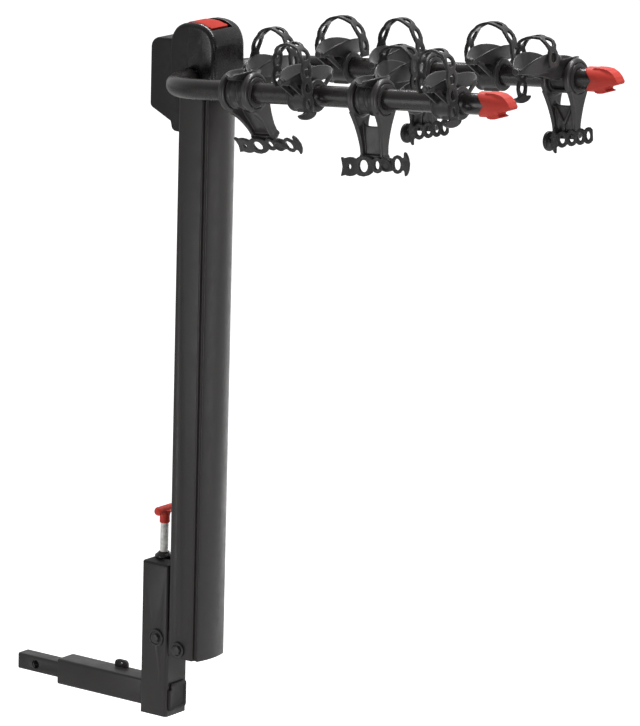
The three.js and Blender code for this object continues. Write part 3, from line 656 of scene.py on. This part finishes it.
def make_bolt(node, name, flange):
    """Flanged bolt: a washer face with a recessed ring round a domed hexagon."""
    bolt = Box(node)
    face = bolt.y0
    x, z = bolt.x, bolt.z
    seat = face + 8
    profile = [(bolt.y1, 0), (bolt.y1, 5.4), (bolt.y1 - 1, 6), (seat, 6), (seat, flange - 0.6)]
    profile += [(seat - 0.8, flange), (seat - 2.2, flange), (seat - 3.4, flange - 1.6)]
    profile += [(seat - 3.4, flange - 3.4), (seat - 1.6, flange - 4.6), (seat - 1.6, 0)]
    washer = lathe(profile, "y", (x, z))
    turn = 12
    hexagon = arc(x, z, 9.4, turn, turn + 300, 5)
    head = prism(hexagon, "y", face + 0.5, seat - 1)
    dome = [(seat, 0), (seat, 9.9), (face + 3.4, 9.9), (face + 1.3, 8.6), (face + 0.3, 5.5), (face, 0)]
    combine(head, [lathe(dome, "y", (x, z))], "INTERSECT")
    combine(washer, [head], "UNION")
    ease(washer, 0.4, 2, 25)
    place(shade(washer, 35), name, "base", "fastener", node)


# ---------- mast ----------
CREST = 15  # how far the front stands out from the flat sides
MAST_WALL = 3.5


def mast_section(inset):
    """D section: flat back and sides, a groove on each side, then a bulging front face."""
    half = MAST.y1 - inset
    back = MAST.x0 + inset
    flat = MAST.x1 - CREST - inset / 2
    step, lip = flat + 9 - inset / 2, half - 4
    crest = MAST.x1 - inset
    fillet = 9 - inset / 2
    groove = 0.0 if inset else 2.6
    edge = 3.6
    side = arc(flat - edge, half - edge, edge, 90, 0, 6) + [(flat + 0.6, lip - groove)]
    side += [(step - 2.5, lip - groove), (step - 1.0, lip - 0.4), (step, lip - 1.6)]
    for i in range(1, 13):
        share = i / 12
        side.append((step + (crest - step) * (1 - (1 - share) ** 2), (lip - 1.6) * (1 - share)))
    front = side + [(x, -y) for x, y in reversed(side[:-1])]
    corner = arc(back + fillet, -half + fillet, fillet, 270, 180, 8)
    corner += arc(back + fillet, half - fillet, fillet, 180, 90, 8)
    return front + corner


def make_mast():
    """D tube, open at the foot, with its lower back corner rounded about the pivot."""
    bolt = Box("pivot_bolt")
    tube = hollow(mast_section(0), mast_section(MAST_WALL), "z", MAST.z0, MAST.z1)
    x, z = bolt.x, bolt.z
    radius = x - MAST.x0
    low, behind = MAST.z0 - 9, MAST.x0 - 9
    corner = [(behind, z)] + arc(x, z, radius, 180, 248, 14) + [(x - 4, low), (behind, low)]
    bracket = Box("pivot_bracket")
    slot = block(MAST.x0 - 2, MAST.x0 + 12, -33, 33, low, bracket.z1 + 4)
    combine(tube, [prism(corner, "y", -THROUGH, THROUGH), slot, cross_hole(BOLT_HOLE_R, x, z)])
    ease(tube, 0.5, 2, 50)
    place(shade(tube, 30), "mast_shell", "mast", "paint", "mast_tube")


# ---------- head ----------
HEAD_HALF = HEAD_REAR.y1
HEAD_R = (HEAD_FRONT.x1 - HEAD_REAR.x0) / 2
HEAD_X = (HEAD_FRONT.x1 + HEAD_REAR.x0) / 2
ARCH_Z = max(HEAD_REAR.z1, HEAD_FRONT.z1) - HEAD_R
SEAM_X = HEAD_REAR.x1
HEAD_REACH = (HEAD_REAR.x0 - 50, HEAD_FRONT.x1 + 50)
HEAD_WALL = 3.2
LEVER_START, LEVER_END = 54, 105  # angles over the crown, from the front


def crown(grow, start, end, steps):
    """Points over the head's top, fuller than a half circle; angles in degrees."""
    fullness = 0.8
    reach = HEAD_R + grow
    points = []
    for a in angles(start, end, steps):
        x = HEAD_X + reach * copysign(abs(cos(a)) ** fullness, cos(a))
        points.append((x, ARCH_Z + reach * abs(sin(a)) ** fullness))
    return points


def arch(inset, below):
    """Side view of the head, drawn a little below its foot."""
    foot = HEAD_REAR.z0 - below
    reach = HEAD_R - inset
    return [(HEAD_X + reach, foot)] + crown(-inset, 0, 180, 40) + [(HEAD_X - reach, foot)]


def arch_band(y0, y1, start, end, outer, inner):
    """Piece of a curved plate that follows the arch, between two angles in degrees."""
    return prism(crown(outer, start, end, 24) + crown(-inner, end, start, 24), "y", y0, y1)


def head_cutter(x0, x1, top):
    """Block that takes away part of the head, up to a height."""
    return block(x0, x1, -THROUGH, THROUGH, HEAD_REAR.z0 - 80, top)


def head_shell(proud, fillet, steps):
    """Arched shell with eased sides, bored for the arm tube and recessed for the lever."""
    shell = prism(arch(-proud, 30), "y", -HEAD_HALF - proud, HEAD_HALF + proud)
    ease(shell, fillet, steps, 60)
    inner_half = HEAD_HALF - HEAD_WALL
    room = prism(arch(HEAD_WALL, 50), "y", -inner_half, inner_half)
    ease(room, fillet - 2.5, 3, 60)
    bore = cross_hole(TUBE_R + 2, HUB.x, HUB.z)
    lever = Box("release_lever")
    pocket = arch_band(lever.y0 - 2, lever.y1 + 12, LEVER_START - 5, LEVER_END + 7, 4, 8)
    foot = head_cutter(*HEAD_REACH, HEAD_REAR.z0)
    return combine(shell, [room, bore, pocket, foot])


def make_head():
    rear = head_shell(0, 8.6, 5)
    back, low = HEAD_REAR.x0, HEAD_REAR.z0
    window = block(back - 9, back + 5, -26, 26, low - 30, low + 72.6)
    combine(rear, [head_cutter(SEAM_X, HEAD_REACH[1], HEAD_REAR.z1 + 80), window])
    ease(rear, 0.5, 2, 40)
    place(shade(rear, 35), "head_shell_rear", "mast", "cover", "head_cover_rear")
    front = head_shell(0.9, 10.0, 6)
    combine(front, [head_cutter(HEAD_REACH[0], SEAM_X + 0.4, HEAD_REAR.z1 + 80)])
    ease(front, 0.5, 2, 40)
    place(shade(front, 35), "head_shell_front", "mast", "gloss_cover", "head_cover_front")


def make_lever():
    """Curved red blade flush with the head, a grip ridge on its edge and a hub below."""
    box = Box("release_lever")
    blade = arch_band(box.y0, box.y1, LEVER_START, LEVER_END, 1.2, 5)
    ease(blade, 1.8, 3, 40)
    ridge = arch_band(box.y0, box.y1, LEVER_START, LEVER_START + 6, 2.4, 6.5)
    ease(ridge, 1.4, 3, 40)
    hinge = pivot("lever_lift")
    sleeve = [(box.y0, 3.3), (box.y0, 6.5), (box.y1, 6.5), (box.y1, 3.3)]
    hub = lathe(sleeve, "y", (hinge.x, hinge.z))
    link = block(hinge.x + 4.5, hinge.x + 10, box.y0 + 6, box.y1 - 4, hinge.z, hinge.z + 10)
    toe = block(hinge.x + 4.5, hinge.x + 20, -8, 8, hinge.z - 6, hinge.z - 1)
    combine(blade, [ridge, hub, link, toe], "UNION")
    place(shade(blade, 35), "lever_blade", "release_lever", "lever", "release_lever")


def make_housing():
    """Box on the vehicle side of the head, its lower lobe reaching down beside the mast."""
    box = Box("mechanism_housing")
    top, low = box.z1, box.z0
    head, mast = HEAD_REAR.x0 - GAP, MAST.x0 - GAP
    mouth = MAST.z1 - 1
    lobe = mast - 15
    outline = [(head, top)] + arc(box.x0 + 20, top - 22, 20, 90, 180, 10)
    outline += arc(box.x0 + 10, low + 47, 10, 180, 245, 6) + [(lobe - 13, low + 18)]
    outline += arc(lobe, low + 11, 11, 180, 270, 8)
    outline += [(mast - 4, low), (mast, low + 4), (mast, mouth), (head, mouth)]
    shell = prism(outline, "y", box.y0, box.y1)
    ease(shell, 4.5, 4, 60)
    place(shade(shell, 35), "housing_shell", "mast", "cover", "mechanism_housing")


# ---------- arms ----------
BEND_R = 118.0
ARM_WALL = 2.5


def u_path():
    """Centre line of the arm tube, with its direction at each point."""
    cross = ARM_HALF - BEND_R
    half = []
    for a in angles(0, 90, 16):
        half.append((Vector((BEND_R * (1 - cos(a)), cross + BEND_R * sin(a), 0)), a))
    for x in (200, 400, 600, ARM_LEN):
        half.append((Vector((x, ARM_HALF, 0)), pi / 2))
    other = [(Vector((p.x, -p.y, 0)), pi - a) for p, a in reversed(half)]
    return other + half


def make_arm_tube():
    """Bent tube: one arm, the cross part through the head, the other arm."""
    rings = [[], []]
    count = 40
    for point, turn in u_path():
        across = Vector((cos(turn), -sin(turn), 0))
        for walls, radius in zip(rings, (TUBE_R, TUBE_R - ARM_WALL)):
            line = []
            for k in range(count):
                a = 2 * pi * k / count
                line.append(point + radius * (across * cos(a) + Vector((0, 0, sin(a)))))
            walls.append(line)
    tube = loft(rings[0] + rings[1][::-1], loop=True)
    place(shade(tube), "arm_tube_shell", "arms", "tube", "arm_tube", arm_frame())


CAP_START, CAP_END = ARM_LEN - 25, ARM_LEN + 44


def cap_profile():
    """Side view of an end cap: straight top, hooked upper lip, mouth, shorter lower lip."""
    x0, x1 = CAP_START, CAP_END
    top = TUBE_R + 3.6
    line = [(x0, -top), (x0, top), (x1 - 34, top - 0.8)]
    hook = [(22, top - 3), (12, 14), (5, 6), (0.5, -3), (2, -7), (8, -9)]
    mouth = [(20, -10.5), (25, -12.5), (27, -15.5), (25, -17.5), (20, -18.5)]
    lip = [(20.5, -21), (27, -22), (34, -top - 1.6), (44, -top - 2), (52, -top)]
    line += [(x1 - back, z) for back, z in hook + mouth + lip]
    return line


def end_cap_shape():
    """Moulded cap with a V notch at its inner edge and a hooked end."""
    x0, x1 = CAP_START, CAP_END
    body = prism(cap_profile(), "y", -30, 30)
    r = TUBE_R + 3.8
    barrel = [(x0 - 1, 0), (x0 - 1, r), (x0 + 31, r), (x1 - 16, r - 5)]
    barrel += [(x1 + 1, r - 11), (x1 + 1, 0)]
    ridge = block(x0 + 18, x1 + 2, -13, 13, -30, 30)
    round_body = join([lathe(barrel), ridge])
    bake(voxels(round_body, 1.2))
    combine(body, [round_body], "INTERSECT")
    notch = prism([(x0 - 2, -22), (x0 + 18, 0), (x0 - 2, 22)], "y", -40, 40)
    bore = prism(circle(0, 0, TUBE_R + GAP), "x", x0 - 9, ARM_LEN + 1)
    combine(body, [notch])
    solid = fuse([body], 0.9, 9)
    return combine(solid, [bore])


def make_end_caps():
    for label, side in (("near", -1), ("far", 1)):
        cap = shade(end_cap_shape())
        spot = arm_frame(0, side * ARM_HALF)
        place(cap, f"cap_{label}", "arms", "cap", f"end_cap_{label}", spot)


# ---------- cradles: drawn about the arm, x along it and inward at +y on the near side ----------
# half span, foot and apex height, offset across and along the arm
Strap = namedtuple("Strap", "half foot apex y x tight")
LOOP = Strap(52, 22, 94, 0, 0, False)
SWAY_LOOP = Strap(45, 28, 106, -80, 13, False)
TIGHT = Strap(32, 20, 98, 41, 0, True)
SWAY_TIGHT = Strap(34, 30, 84, -80, 4, True)
STRAP_KINDS = {
    "near_1": SWAY_LOOP, "near_2": TIGHT, "near_3": SWAY_TIGHT, "near_4": TIGHT,
    "far_1": LOOP, "far_2": SWAY_LOOP, "far_3": LOOP, "far_4": SWAY_TIGHT,
}
STAYS = ("near_1", "near_3", "far_2", "far_4")
STAY_SWING = {"near_1": radians(35)}
RING_R, RING_IN, HUB_R = 36.0, 29.0, 28.0
RAIL_TOP, STAY_FOOT = -22, -110  # heights of a stay's rails, from the arm's centre


def side_of(tag):
    return -1 if "near" in tag else 1


def cradle_place(tag):
    """Distance of a cradle along its arm, from the hinge of its strap."""
    kind, side = STRAP_KINDS[tag], side_of(tag)
    offset = kind.x + kind.half
    if kind.tight:
        offset = -side * (kind.x - kind.half)
    hinge = along_arm(pivot(f"strap_open_{tag}"))
    return hinge - offset


def trough(y0, y1, base, height):
    """Boat shaped trough: leaf shaped walls that lean out, with a bead along each rim."""
    rings = []
    lean = tan(radians(20))
    for i in range(29):
        t = -1 + 2 * i / 28
        swell = 1 - t * t
        floor = 3.5 + 10.5 * swell**0.6
        wall = 4 + height * swell**0.75
        z = base + 4 * t * t
        y = (y0 + y1) / 2 + t * (y1 - y0) / 2
        top = floor + wall * lean
        half = [(floor + 1.6, z - 2.5), (top + 2.9, z + wall - 2.2), (top + 3.6, z + wall)]
        half += [(top + 2.0, z + wall + 1.5), (top, z + wall), (floor, z + 2.4)]
        ring = half + [(-x, w) for x, w in reversed(half)]
        rings.append([(x, y, w) for x, w in ring])
    return loft(rings)


def ring(x0, x1, r_in, r_out, edge):
    """Annulus about the arm with its outer corners eased."""
    profile = [(x0, r_in), (x0, r_out - edge), (x0 + edge, r_out)]
    profile += [(x1 - edge, r_out), (x1, r_out - edge), (x1, r_in)]
    return lathe(profile)


def arm_bore(radius):
    """Cutter for a round hole along the arm."""
    return prism(circle(0, 0, radius), "x", -THROUGH, THROUGH)


def fin(points, x, thick):
    """Flat rib drawn in the plane across the arm."""
    return prism(points, "x", x - thick / 2, x + thick / 2)


def stud(start, z):
    """Round peg on the tip of a trough, with a grooved head."""
    profile = [(0, 0), (0, 6), (3, 6.6), (4.5, 4.6), (7.5, 4.6), (9, 6.6), (12, 6), (12, 0)]
    return lathe([(start + d, r) for d, r in profile], "y", (0, z), 24)


def plain_saddle():
    """Clamp collar with flared ends, a trough above it and fins between the two."""
    parts = [ring(-24, 24, TUBE_R, 26, 1.5), ring(-26, -20, TUBE_R, 30, 2)]
    parts += [ring(20, 26, TUBE_R, 30, 2), trough(-68, 68, TUBE_R + 6, 24)]
    for sign in (-1, 1):
        outer = [(sign * y, z) for y, z in ((19, 2), (27, 0), (64, 26), (62, 31), (52, 29))]
        inner = [(sign * y, z) for y, z in ((6, 20), (13, 19), (38, 28), (32, 32), (26, 31))]
        parts += [fin(leg, x, 4.2) for x in (-12, 12) for leg in (outer, inner)]
    parts.append(fin([(-9, 30), (9, 30), (11, 18), (-11, 18)], 0, 30))
    parts.append(block(-16, 16, -9, 9, -30, -22))
    parts += [stud(start, TUBE_R + 14) for start in (-78, 66)]
    solid = fuse(parts, 1.1, 4)
    return combine(solid, [arm_bore(TUBE_R + GAP)])


def sway_saddle(windowed):
    """Hub that carries the stay's rings, and a long trough reaching inward from it."""
    hub = ring(-33, 33, TUBE_R, HUB_R - 0.2, 1.2)
    if windowed:
        rows = ((-19, -2), (3, 21))
        combine(hub, [prism(rounded(-15, 15, z0, z1, 4), "y", -60, 60) for z0, z1 in rows])
        bands = [ring(-18, 18, TUBE_R - 4, TUBE_R + 2.4, 1)]
    else:
        bands = [ring(x - 3, x + 3, TUBE_R, HUB_R + 3.4, 2.4) for x in (-14, 6)]
    neck = [(-12, 14), (14, 2), (58, 4), (84, 12), (128, 22), (128, 30), (20, 30), (-16, 25)]
    parts = [hub, *bands, trough(24, 148, 23, 28), trough(-36, 46, 25, 9)]
    parts += [fin(neck, x, 4) for x in (-11, 11)]
    parts.append(fin([(-10, 14), (40, 12), (60, 26), (10, 30), (-12, 25)], 0, 26))
    parts.append(stud(145, 30))
    solid = fuse(parts, 1.1, 4)
    return combine(solid, [arm_bore(TUBE_R + GAP)])


def stay_rail(sign):
    """Side rail of a stay: deep under its ring, narrowing and drawing in toward the foot."""
    stations = 14
    outlines = []
    for i in range(stations + 1):
        share = i / stations
        z = RAIL_TOP + (STAY_FOOT - RAIL_TOP) * share
        x = sign * (27 - 5.5 * min(1.0, 1.35 * share) ** 1.4)
        depth = 10 + 20 * (1 - share) ** 2.6
        thick = 3.4 + 1.6 * (1 - share)
        outline = rounded(x - thick, x + thick, -depth, depth, 2.6, 3)
        outlines.append([(u, v, z) for u, v in outline])
    return combine(loft(outlines), [arm_bore(RING_IN)])


def stay_shape():
    """Two hooded rings joined by a tapering H section column, with V ribs on its inner face."""
    parts = [ring(-32, -19, RING_IN, RING_R, 3.2), ring(19, 32, RING_IN, RING_R, 3.2)]
    parts += [stay_rail(-1), stay_rail(1)]
    top = [(24 - 48 * i / 16, -36 - 14 * (1 - (1 - i / 8) ** 4)) for i in range(17)]
    web = [(-26, STAY_FOOT), (26, STAY_FOOT)] + top
    parts.append(prism(web, "y", -2.2, 4.2))
    parts.append(prism(rounded(-27, 27, STAY_FOOT, STAY_FOOT + 10, 4), "y", -9.5, 9.5))
    for sign in (-1, 1):
        v_rib = [(sign * 20, -50), (sign * 16, -50), (0, -78), (0, -86), (sign * 4, -82)]
        parts.append(prism(v_rib, "y", 0, 8.5))
    stem = [(-2, -82), (2, -82), (2, STAY_FOOT + 4), (-2, STAY_FOOT + 4)]
    parts.append(prism(stem, "y", 0, 8))
    return fuse(parts, 1.0, 4)


# ---------- ladder straps ----------
STRAP_T = 5.0


def smooth_path(points, steps=10):
    """Curve through the points, with so many steps from each to the next."""
    points = [Vector(p) for p in points]
    ends = [2 * points[0] - points[1]] + points + [2 * points[-1] - points[-2]]
    path = []
    for i in range(1, len(ends) - 2):
        a, b, c, d = ends[i - 1 : i + 3]
        for k in range(steps):
            t = k / steps
            square = (2 * a - 5 * b + 4 * c - d) * t**2
            cube = (3 * b - a - 3 * c + d) * t**3
            path.append(0.5 * (2 * b + (c - a) * t + square + cube))
    path.append(points[-1])
    return path


class Ribbon:
    """Turns strap coordinates (along, across, above) into points in space."""

    def __init__(self, path, across):
        self.path = path
        self.across = across
        self.marks = [0.0]
        for a, b in zip(path, path[1:]):
            self.marks.append(self.marks[-1] + (b - a).length)
        self.length = self.marks[-1]

    def at(self, along, across, above):
        i = 0
        while i < len(self.marks) - 2 and self.marks[i + 1] < along:
            i += 1
        a, b = self.path[i], self.path[i + 1]
        tangent = (b - a).normalized()
        before = (self.path[i] - self.path[max(i - 1, 0)]).normalized() if i else tangent
        share = (along - self.marks[i]) / (self.marks[i + 1] - self.marks[i])
        direction = before.lerp(tangent, min(max(share, 0.0), 1.0)).normalized()
        normal = direction.cross(self.across)
        return a + tangent * (along - self.marks[i]) + self.across * across + normal * above


def ladder(ribbon, start, end, ring_half, waist, pitch, hole):
    """Row of oval rings along a ribbon: a scalloped band with a hole in each ring."""
    cells = max(1, round((end - start) / pitch))
    pitch = (end - start) / cells
    verts, faces = [], []
    for cell in range(cells):
        middle = start + (cell + 0.5) * pitch
        first = len(verts)
        for k in range(16):
            a = 2 * pi * k / 16
            s = max(-1.0, min(1.0, sqrt(2) * cos(a)))
            t = max(-1.0, min(1.0, sqrt(2) * sin(a)))
            half = waist + (ring_half - waist) * (1 - abs(s) ** 2.2)
            outer = (middle + s * pitch / 2, t * half)
            inner = (middle + hole[0] * cos(a), hole[1] * sin(a))
            for along, across in (outer, inner):
                verts.append(ribbon.at(along, across, STRAP_T / 2))
                verts.append(ribbon.at(along, across, -STRAP_T / 2))
        for k in range(16):
            a, b = first + 4 * k, first + 4 * ((k + 1) % 16)
            faces.append((a, b, b + 2, a + 2))
            faces.append((a + 1, a + 3, b + 3, b + 1))
            faces.append((a + 2, b + 2, b + 3, a + 3))
            left, right = 6 <= k < 10, k < 2 or k >= 14
            if not left and not right or (left and cell == 0) or (right and cell == cells - 1):
                faces.append((a, a + 1, b + 1, b))
    band = new_object(verts, faces)
    bake(weld(band, 0.01))
    return outward(band)


def t_handle(ribbon, along, half, depth, shift):
    """Half round thumb grip across the end of a strap."""
    points = [(shift + half * cos(a), depth * sin(a)) for a in angles(0, 180, 14)]
    points += [(shift - half * 0.5, -1), (shift, -4), (shift + half * 0.5, -1)]
    rings = []
    for above in (-3.6, 3.6):
        rings.append([ribbon.at(along + v, u, above) for u, v in points])
    return loft(rings)


def strap_shape(tag):
    """Ladder strap of a cradle: an open loop, or pulled tight with its tail below the tube."""
    kind, side = STRAP_KINDS[tag], side_of(tag)
    half, foot, apex = kind.half, kind.foot, kind.apex
    y = side * kind.y
    turn = -side if kind.tight else 1
    waist = 58 if kind.tight else foot
    points = []
    for a in angles(180, 0, 6 if kind.tight else 12):
        points.append((half * cos(a), waist + (apex - waist) * sin(a) ** 0.8))
    if kind.tight:
        points = [(-half, foot)] + points + [(half, 30), (half + 1, 0), (half + 1, -34)]
    path = smooth_path([(turn * (x + kind.x), y, z) for x, z in points])
    ribbon = Ribbon(path, Vector((0, 1, 0)))
    tail = 6 if kind.tight else 0
    style = (15.5, 10.5, 30.0, (9.4, 7.8)) if kind.tight else (13.5, 10.0, 33.0, (9.5, 5.8))
    parts = [ladder(ribbon, 3, ribbon.length - 3 - tail, *style)]
    section = ((-11, -2.6), (11, -2.6), (11, 2.6), (-11, 2.6))
    for end in ((0, 8), (ribbon.length - 8 - tail, ribbon.length - tail)):
        parts.append(loft([[ribbon.at(along, u, v) for u, v in section] for along in end]))
    if kind.tight:
        shift = side * 4 if kind.y > 0 else 0
        parts.append(t_handle(ribbon, ribbon.length - 8, 25, 11, shift))
    return fuse(parts, 0.95, 3)


def foot_line(x, far=False):
    """Height of a foot strap's middle below the arm: it rises toward the arm's end."""
    return -110 + 0.17 * x if far else -118 + 0.085 * x


def crescent(ribbon, at, facing, half, depth):
    """Curved T end of a strap, across its width."""
    points = [(half * sin(a), facing * depth * cos(a)) for a in angles(-90, 90, 12)]
    points += [(half * 0.55, -facing), (10, -facing * 7)]
    points += [(-10, -facing * 7), (-half * 0.55, -facing)]
    return loft([[ribbon.at(at + v, u, above) for u, v in points] for above in (-2.9, 2.9)])


def button(x, y0, y1, radius):
    """Round dished button with a raised rim."""
    profile = [(y0 + 2.5, 0), (y0 + 2.5, radius - 5), (y0, radius - 3), (y0, radius - 1)]
    profile += [(y0 + 1.5, radius), (y1, radius), (y1, 0)]
    return lathe(profile, "y", (x, foot_line(x)), 36)


def foot_ribbon(first, last, far):
    """Wavy line of a foot strap between two distances along the arm."""
    stations = range(first, last + 1, 2)
    points = [(x, -13 + 2.2 * sin(x / 15), foot_line(x, far)) for x in stations]
    return Ribbon(smooth_path(points, 2), Vector((0, 0, 1)))


def far_foot_strap():
    """Short foot strap: a row of rings, a T end and a disc on a peg."""
    ribbon = foot_ribbon(-18, 66, True)
    rings = ladder(ribbon, 8, ribbon.length, 15.5, 10.0, 19.0, (5.2, 7.6))
    head = crescent(ribbon, 4, -1, 24, 9)
    rim = [(-39, 0), (-39, 15), (-37, 18), (-32, 18.5), (-30, 17), (-30, 0)]
    disc = lathe(rim, "x", (-6, foot_line(-34, True)), 36)
    peg = [(-34, 0), (-34, 6), (-14, 6), (-14, 0)]
    return fuse([rings, head, disc, lathe(peg, "x", (-9, foot_line(-24, True)), 24)], 0.95, 3)


def near_foot_strap():
    """Foot strap seen in full: plate with ears, two rings, a button, a ring and a T end."""
    first, last = -68, 86
    ribbon = foot_ribbon(first, last, False)
    scale = ribbon.length / (last - first)
    parts = []
    # start and end along the arm, half width, waist, length of a cell, hole
    for start, end, half, waist, cell, hole in (
        (-31, 4, 19, 13, 35, (8.7, 11.0)),
        (4, 24, 15, 9, 20, (4.4, 7.5)),
        (23, 49, 13, 10, 30, (1.6, 1.6)),
        (48, 72, 17, 10, 24, (8.0, 10.5)),
    ):
        span = ((start - first) * scale, (end - first) * scale)
        parts.append(ladder(ribbon, *span, half, waist, cell, hole))
    parts.append(ladder(ribbon, 9, (-30 - first) * scale, 17.5, 14.0, 40.0, (4.2, 4.6)))
    ears = [(-17, 0), (-15, 11), (15, 11), (18, 2), (8, 4), (0, 5), (-8, 3)]
    parts.append(loft([[ribbon.at(1 + v, u, above) for u, v in ears] for above in (-2.8, 2.8)]))
    parts.append(crescent(ribbon, ribbon.length - 10, 1, 22, 10))
    parts.append(button(36, -19, -10.5, 12.5))
    return fuse(parts, 0.95, 3)


def make_cradles():
    saddle, stay = shade(plain_saddle(), 60), shade(stay_shape(), 60)
    sway = {-1: shade(sway_saddle(False), 60), 1: shade(sway_saddle(True), 60)}
    foot = {-1: shade(near_foot_strap(), 60), 1: shade(far_foot_strap(), 60)}
    for tag in STRAP_KINDS:
        side = side_of(tag)
        spot = cradle_place(tag)
        across = side * ARM_HALF
        inward = arm_frame(spot, across, side > 0)
        loop = shade(strap_shape(tag), 60)
        place(loop, f"ladder_{tag}", f"strap_{tag}", "strap", f"strap_{tag}", arm_frame(spot, across))
        if tag not in STAYS:
            place(copy(saddle), f"cradle_{tag}", "arms", "cradle", f"plain_saddle_{tag}", inward)
            continue
        place(copy(sway[side]), f"cradle_{tag}", "arms", "cradle", f"sway_saddle_{tag}", inward)
        swing = STAY_SWING.get(tag, 0.0)
        column = arm_frame(spot, across, side > 0, swing)
        place(copy(stay), f"stay_column_{tag}", f"stay_{tag}", "stay", f"sway_arm_{tag}", column)
        level = arm_frame(spot, across, False, swing)
        ladder_name, strap = f"foot_ladder_{tag}", f"sway_strap_{tag}"
        place(copy(foot[side]), ladder_name, f"stay_{tag}", "strap", strap, level)
    for used in (saddle, stay, *sway.values(), *foot.values()):
        bpy.data.objects.remove(used)


# ---------- CAD nodes that stay, with eased edges and a finish ----------
PAINTED = ("sleeve_spacer_inner", "sleeve_spacer_outer", "sleeve_lug", "pivot_bracket")
PAINTED += ("latch_tongue", "head_bracket")
PLASTIC = ("pivot_spacer_near", "pivot_spacer_far", "hub_bush_near", "hub_bush_far")
PLATED = ("bracket_nut", "pivot_nut", "lever_pin", "pawl_pin", "pawl", "fold_ratchet")
SPRINGS = ("lock_spring", "pawl_spring")
KEPT = {"paint": PAINTED, "cover": PLASTIC, "zinc": PLATED + SPRINGS}


def finish_kept_node(node, look):
    obj = frame["nodes"][node]
    obj.data.materials.clear()
    obj.data.materials.append(LOOKS[look])
    weld(obj, 0.02 * MM)
    if node not in SPRINGS:
        bevel(obj, 0.6 * MM, 2, 30)
    normals = obj.modifiers.new("normals", "WEIGHTED_NORMAL")
    normals.keep_sharp = True
    for polygon in obj.data.polygons:
        polygon.use_smooth = True


# ---------- stage: floor, lights and camera ----------
MIDDLE = (cad_box[0] + cad_box[1]) / 2
CAMERA_OFFSET = Vector((5.79847, -7.89763, 2.33804))  # from the middle, metres
CAMERA_YAW, CAMERA_PITCH, CAMERA_ROLL = 0.6264, 0.2317, 0.026  # radians
LENS_MM = 270.2
FLOOR_Z = -0.9
FLOOR_GLOW = 0.85  # to the camera only
AREA_LIGHTS = (  # name, offset from the middle, height aimed at, size, watts
    ("top_strip", (0.2, 0.7, 2.4), 0.4, (3.0, 0.26), 75),
    ("front_strip", (3.3, -2.4, -0.5), 0, (0.6, 3.4), 40),
    ("right_strip", (3.4, 2.3, -0.5), 0, (0.4, 3.2), 18),
    ("left_strip", (-1.9, -4.4, -0.5), 0, (0.9, 3.4), 42),
    ("rim_strip", (-0.2, 3.2, -0.2), 0, (1.4, 3.2), 38),
)


def make_floor():
    bpy.ops.mesh.primitive_plane_add(size=60, location=(0, 0, FLOOR_Z))
    floor = bpy.context.object
    floor.name = "floor"
    paper = Look("floor_paper", 0.9)
    paper.set("Base Color", (0.9, 0.9, 0.9, 1))
    paper.set("Emission Color", (1, 1, 1, 1))
    paper.set("Emission Strength", paper.remap(paper.seen_by_camera(), 0, 1, 0, FLOOR_GLOW))
    floor.data.materials.append(paper.material)


def area_light(name, location, target, size, power):
    data = bpy.data.lights.new(name, "AREA")
    data.shape = "RECTANGLE"
    data.size, data.size_y = size
    data.energy = power
    light = bpy.data.objects.new(name, data)
    light.location = location
    light.rotation_euler = (target - location).to_track_quat("-Z", "Y").to_euler()
    add_to_scene(light)


def make_lights():
    """Overhead strip, upright strips round the rack, and the surround."""
    for name, offset, aim, size, power in AREA_LIGHTS:
        area_light(name, MIDDLE + Vector(offset), MIDDLE + Vector((0, 0, aim)), size, power)
    make_surround()


def make_surround():
    """White to the camera; as a light it is dimmer on the camera's side."""
    world = bpy.data.worlds.new("studio")
    world.use_nodes = True
    studio = Nodes(world.node_tree)
    background = world.node_tree.nodes["Background"]
    background.inputs["Color"].default_value = (1, 1, 1, 1)
    toward_camera = studio.node("ShaderNodeVectorMath", operation="DOT_PRODUCT")
    toward_camera.inputs[1].default_value = CAMERA_OFFSET.normalized()
    studio.link(studio.node("ShaderNodeTexCoord").outputs["Generated"], toward_camera.inputs[0])
    level = studio.node("ShaderNodeMix")
    studio.link(studio.seen_by_camera(), level.inputs["Factor"])
    dimmed = studio.remap(toward_camera.outputs["Value"], -0.5, 0.6, 0.62, 0.24)
    studio.link(dimmed, level.inputs["A"])
    level.inputs["B"].default_value = 1.0
    studio.link(level.outputs["Result"], background.inputs["Strength"])
    bpy.context.scene.world = world


def make_camera():
    """Long lens from the near side and outer end, a little above the rack."""
    level = Vector((cos(CAMERA_YAW), sin(CAMERA_YAW), 0))
    flat = Vector((-sin(CAMERA_YAW), cos(CAMERA_YAW), 0))
    ahead = flat * cos(CAMERA_PITCH) - Vector((0, 0, sin(CAMERA_PITCH)))
    above = level.cross(ahead)
    right = level * cos(CAMERA_ROLL) + above * sin(CAMERA_ROLL)
    up = above * cos(CAMERA_ROLL) - level * sin(CAMERA_ROLL)
    data = bpy.data.cameras.new("camera")
    data.sensor_fit = "AUTO"
    data.sensor_width = 36
    data.lens = LENS_MM
    data.clip_end = 100
    camera = bpy.data.objects.new("camera", data)
    turn = Matrix((right, up, -ahead)).transposed().to_4x4()
    camera.matrix_world = Matrix.Translation(MIDDLE + CAMERA_OFFSET) @ turn
    bpy.context.scene.camera = add_to_scene(camera)


make_hitch_bar()
make_sleeve()
make_post()
make_post_cap()
make_pin_guide()
make_lock_pin()
make_end_plug()
make_bolt("bracket_bolt", "bolt_bracket", 16.5)
make_bolt("pivot_bolt", "bolt_pivot", 14.5)
make_mast()
make_head()
make_lever()
make_housing()
make_arm_tube()
make_end_caps()
make_cradles()
for look, nodes in KEPT.items():
    for node in nodes:
        finish_kept_node(node, look)
make_floor()
make_lights()
make_camera()
bpy.context.scene.view_settings.view_transform = "Standard"
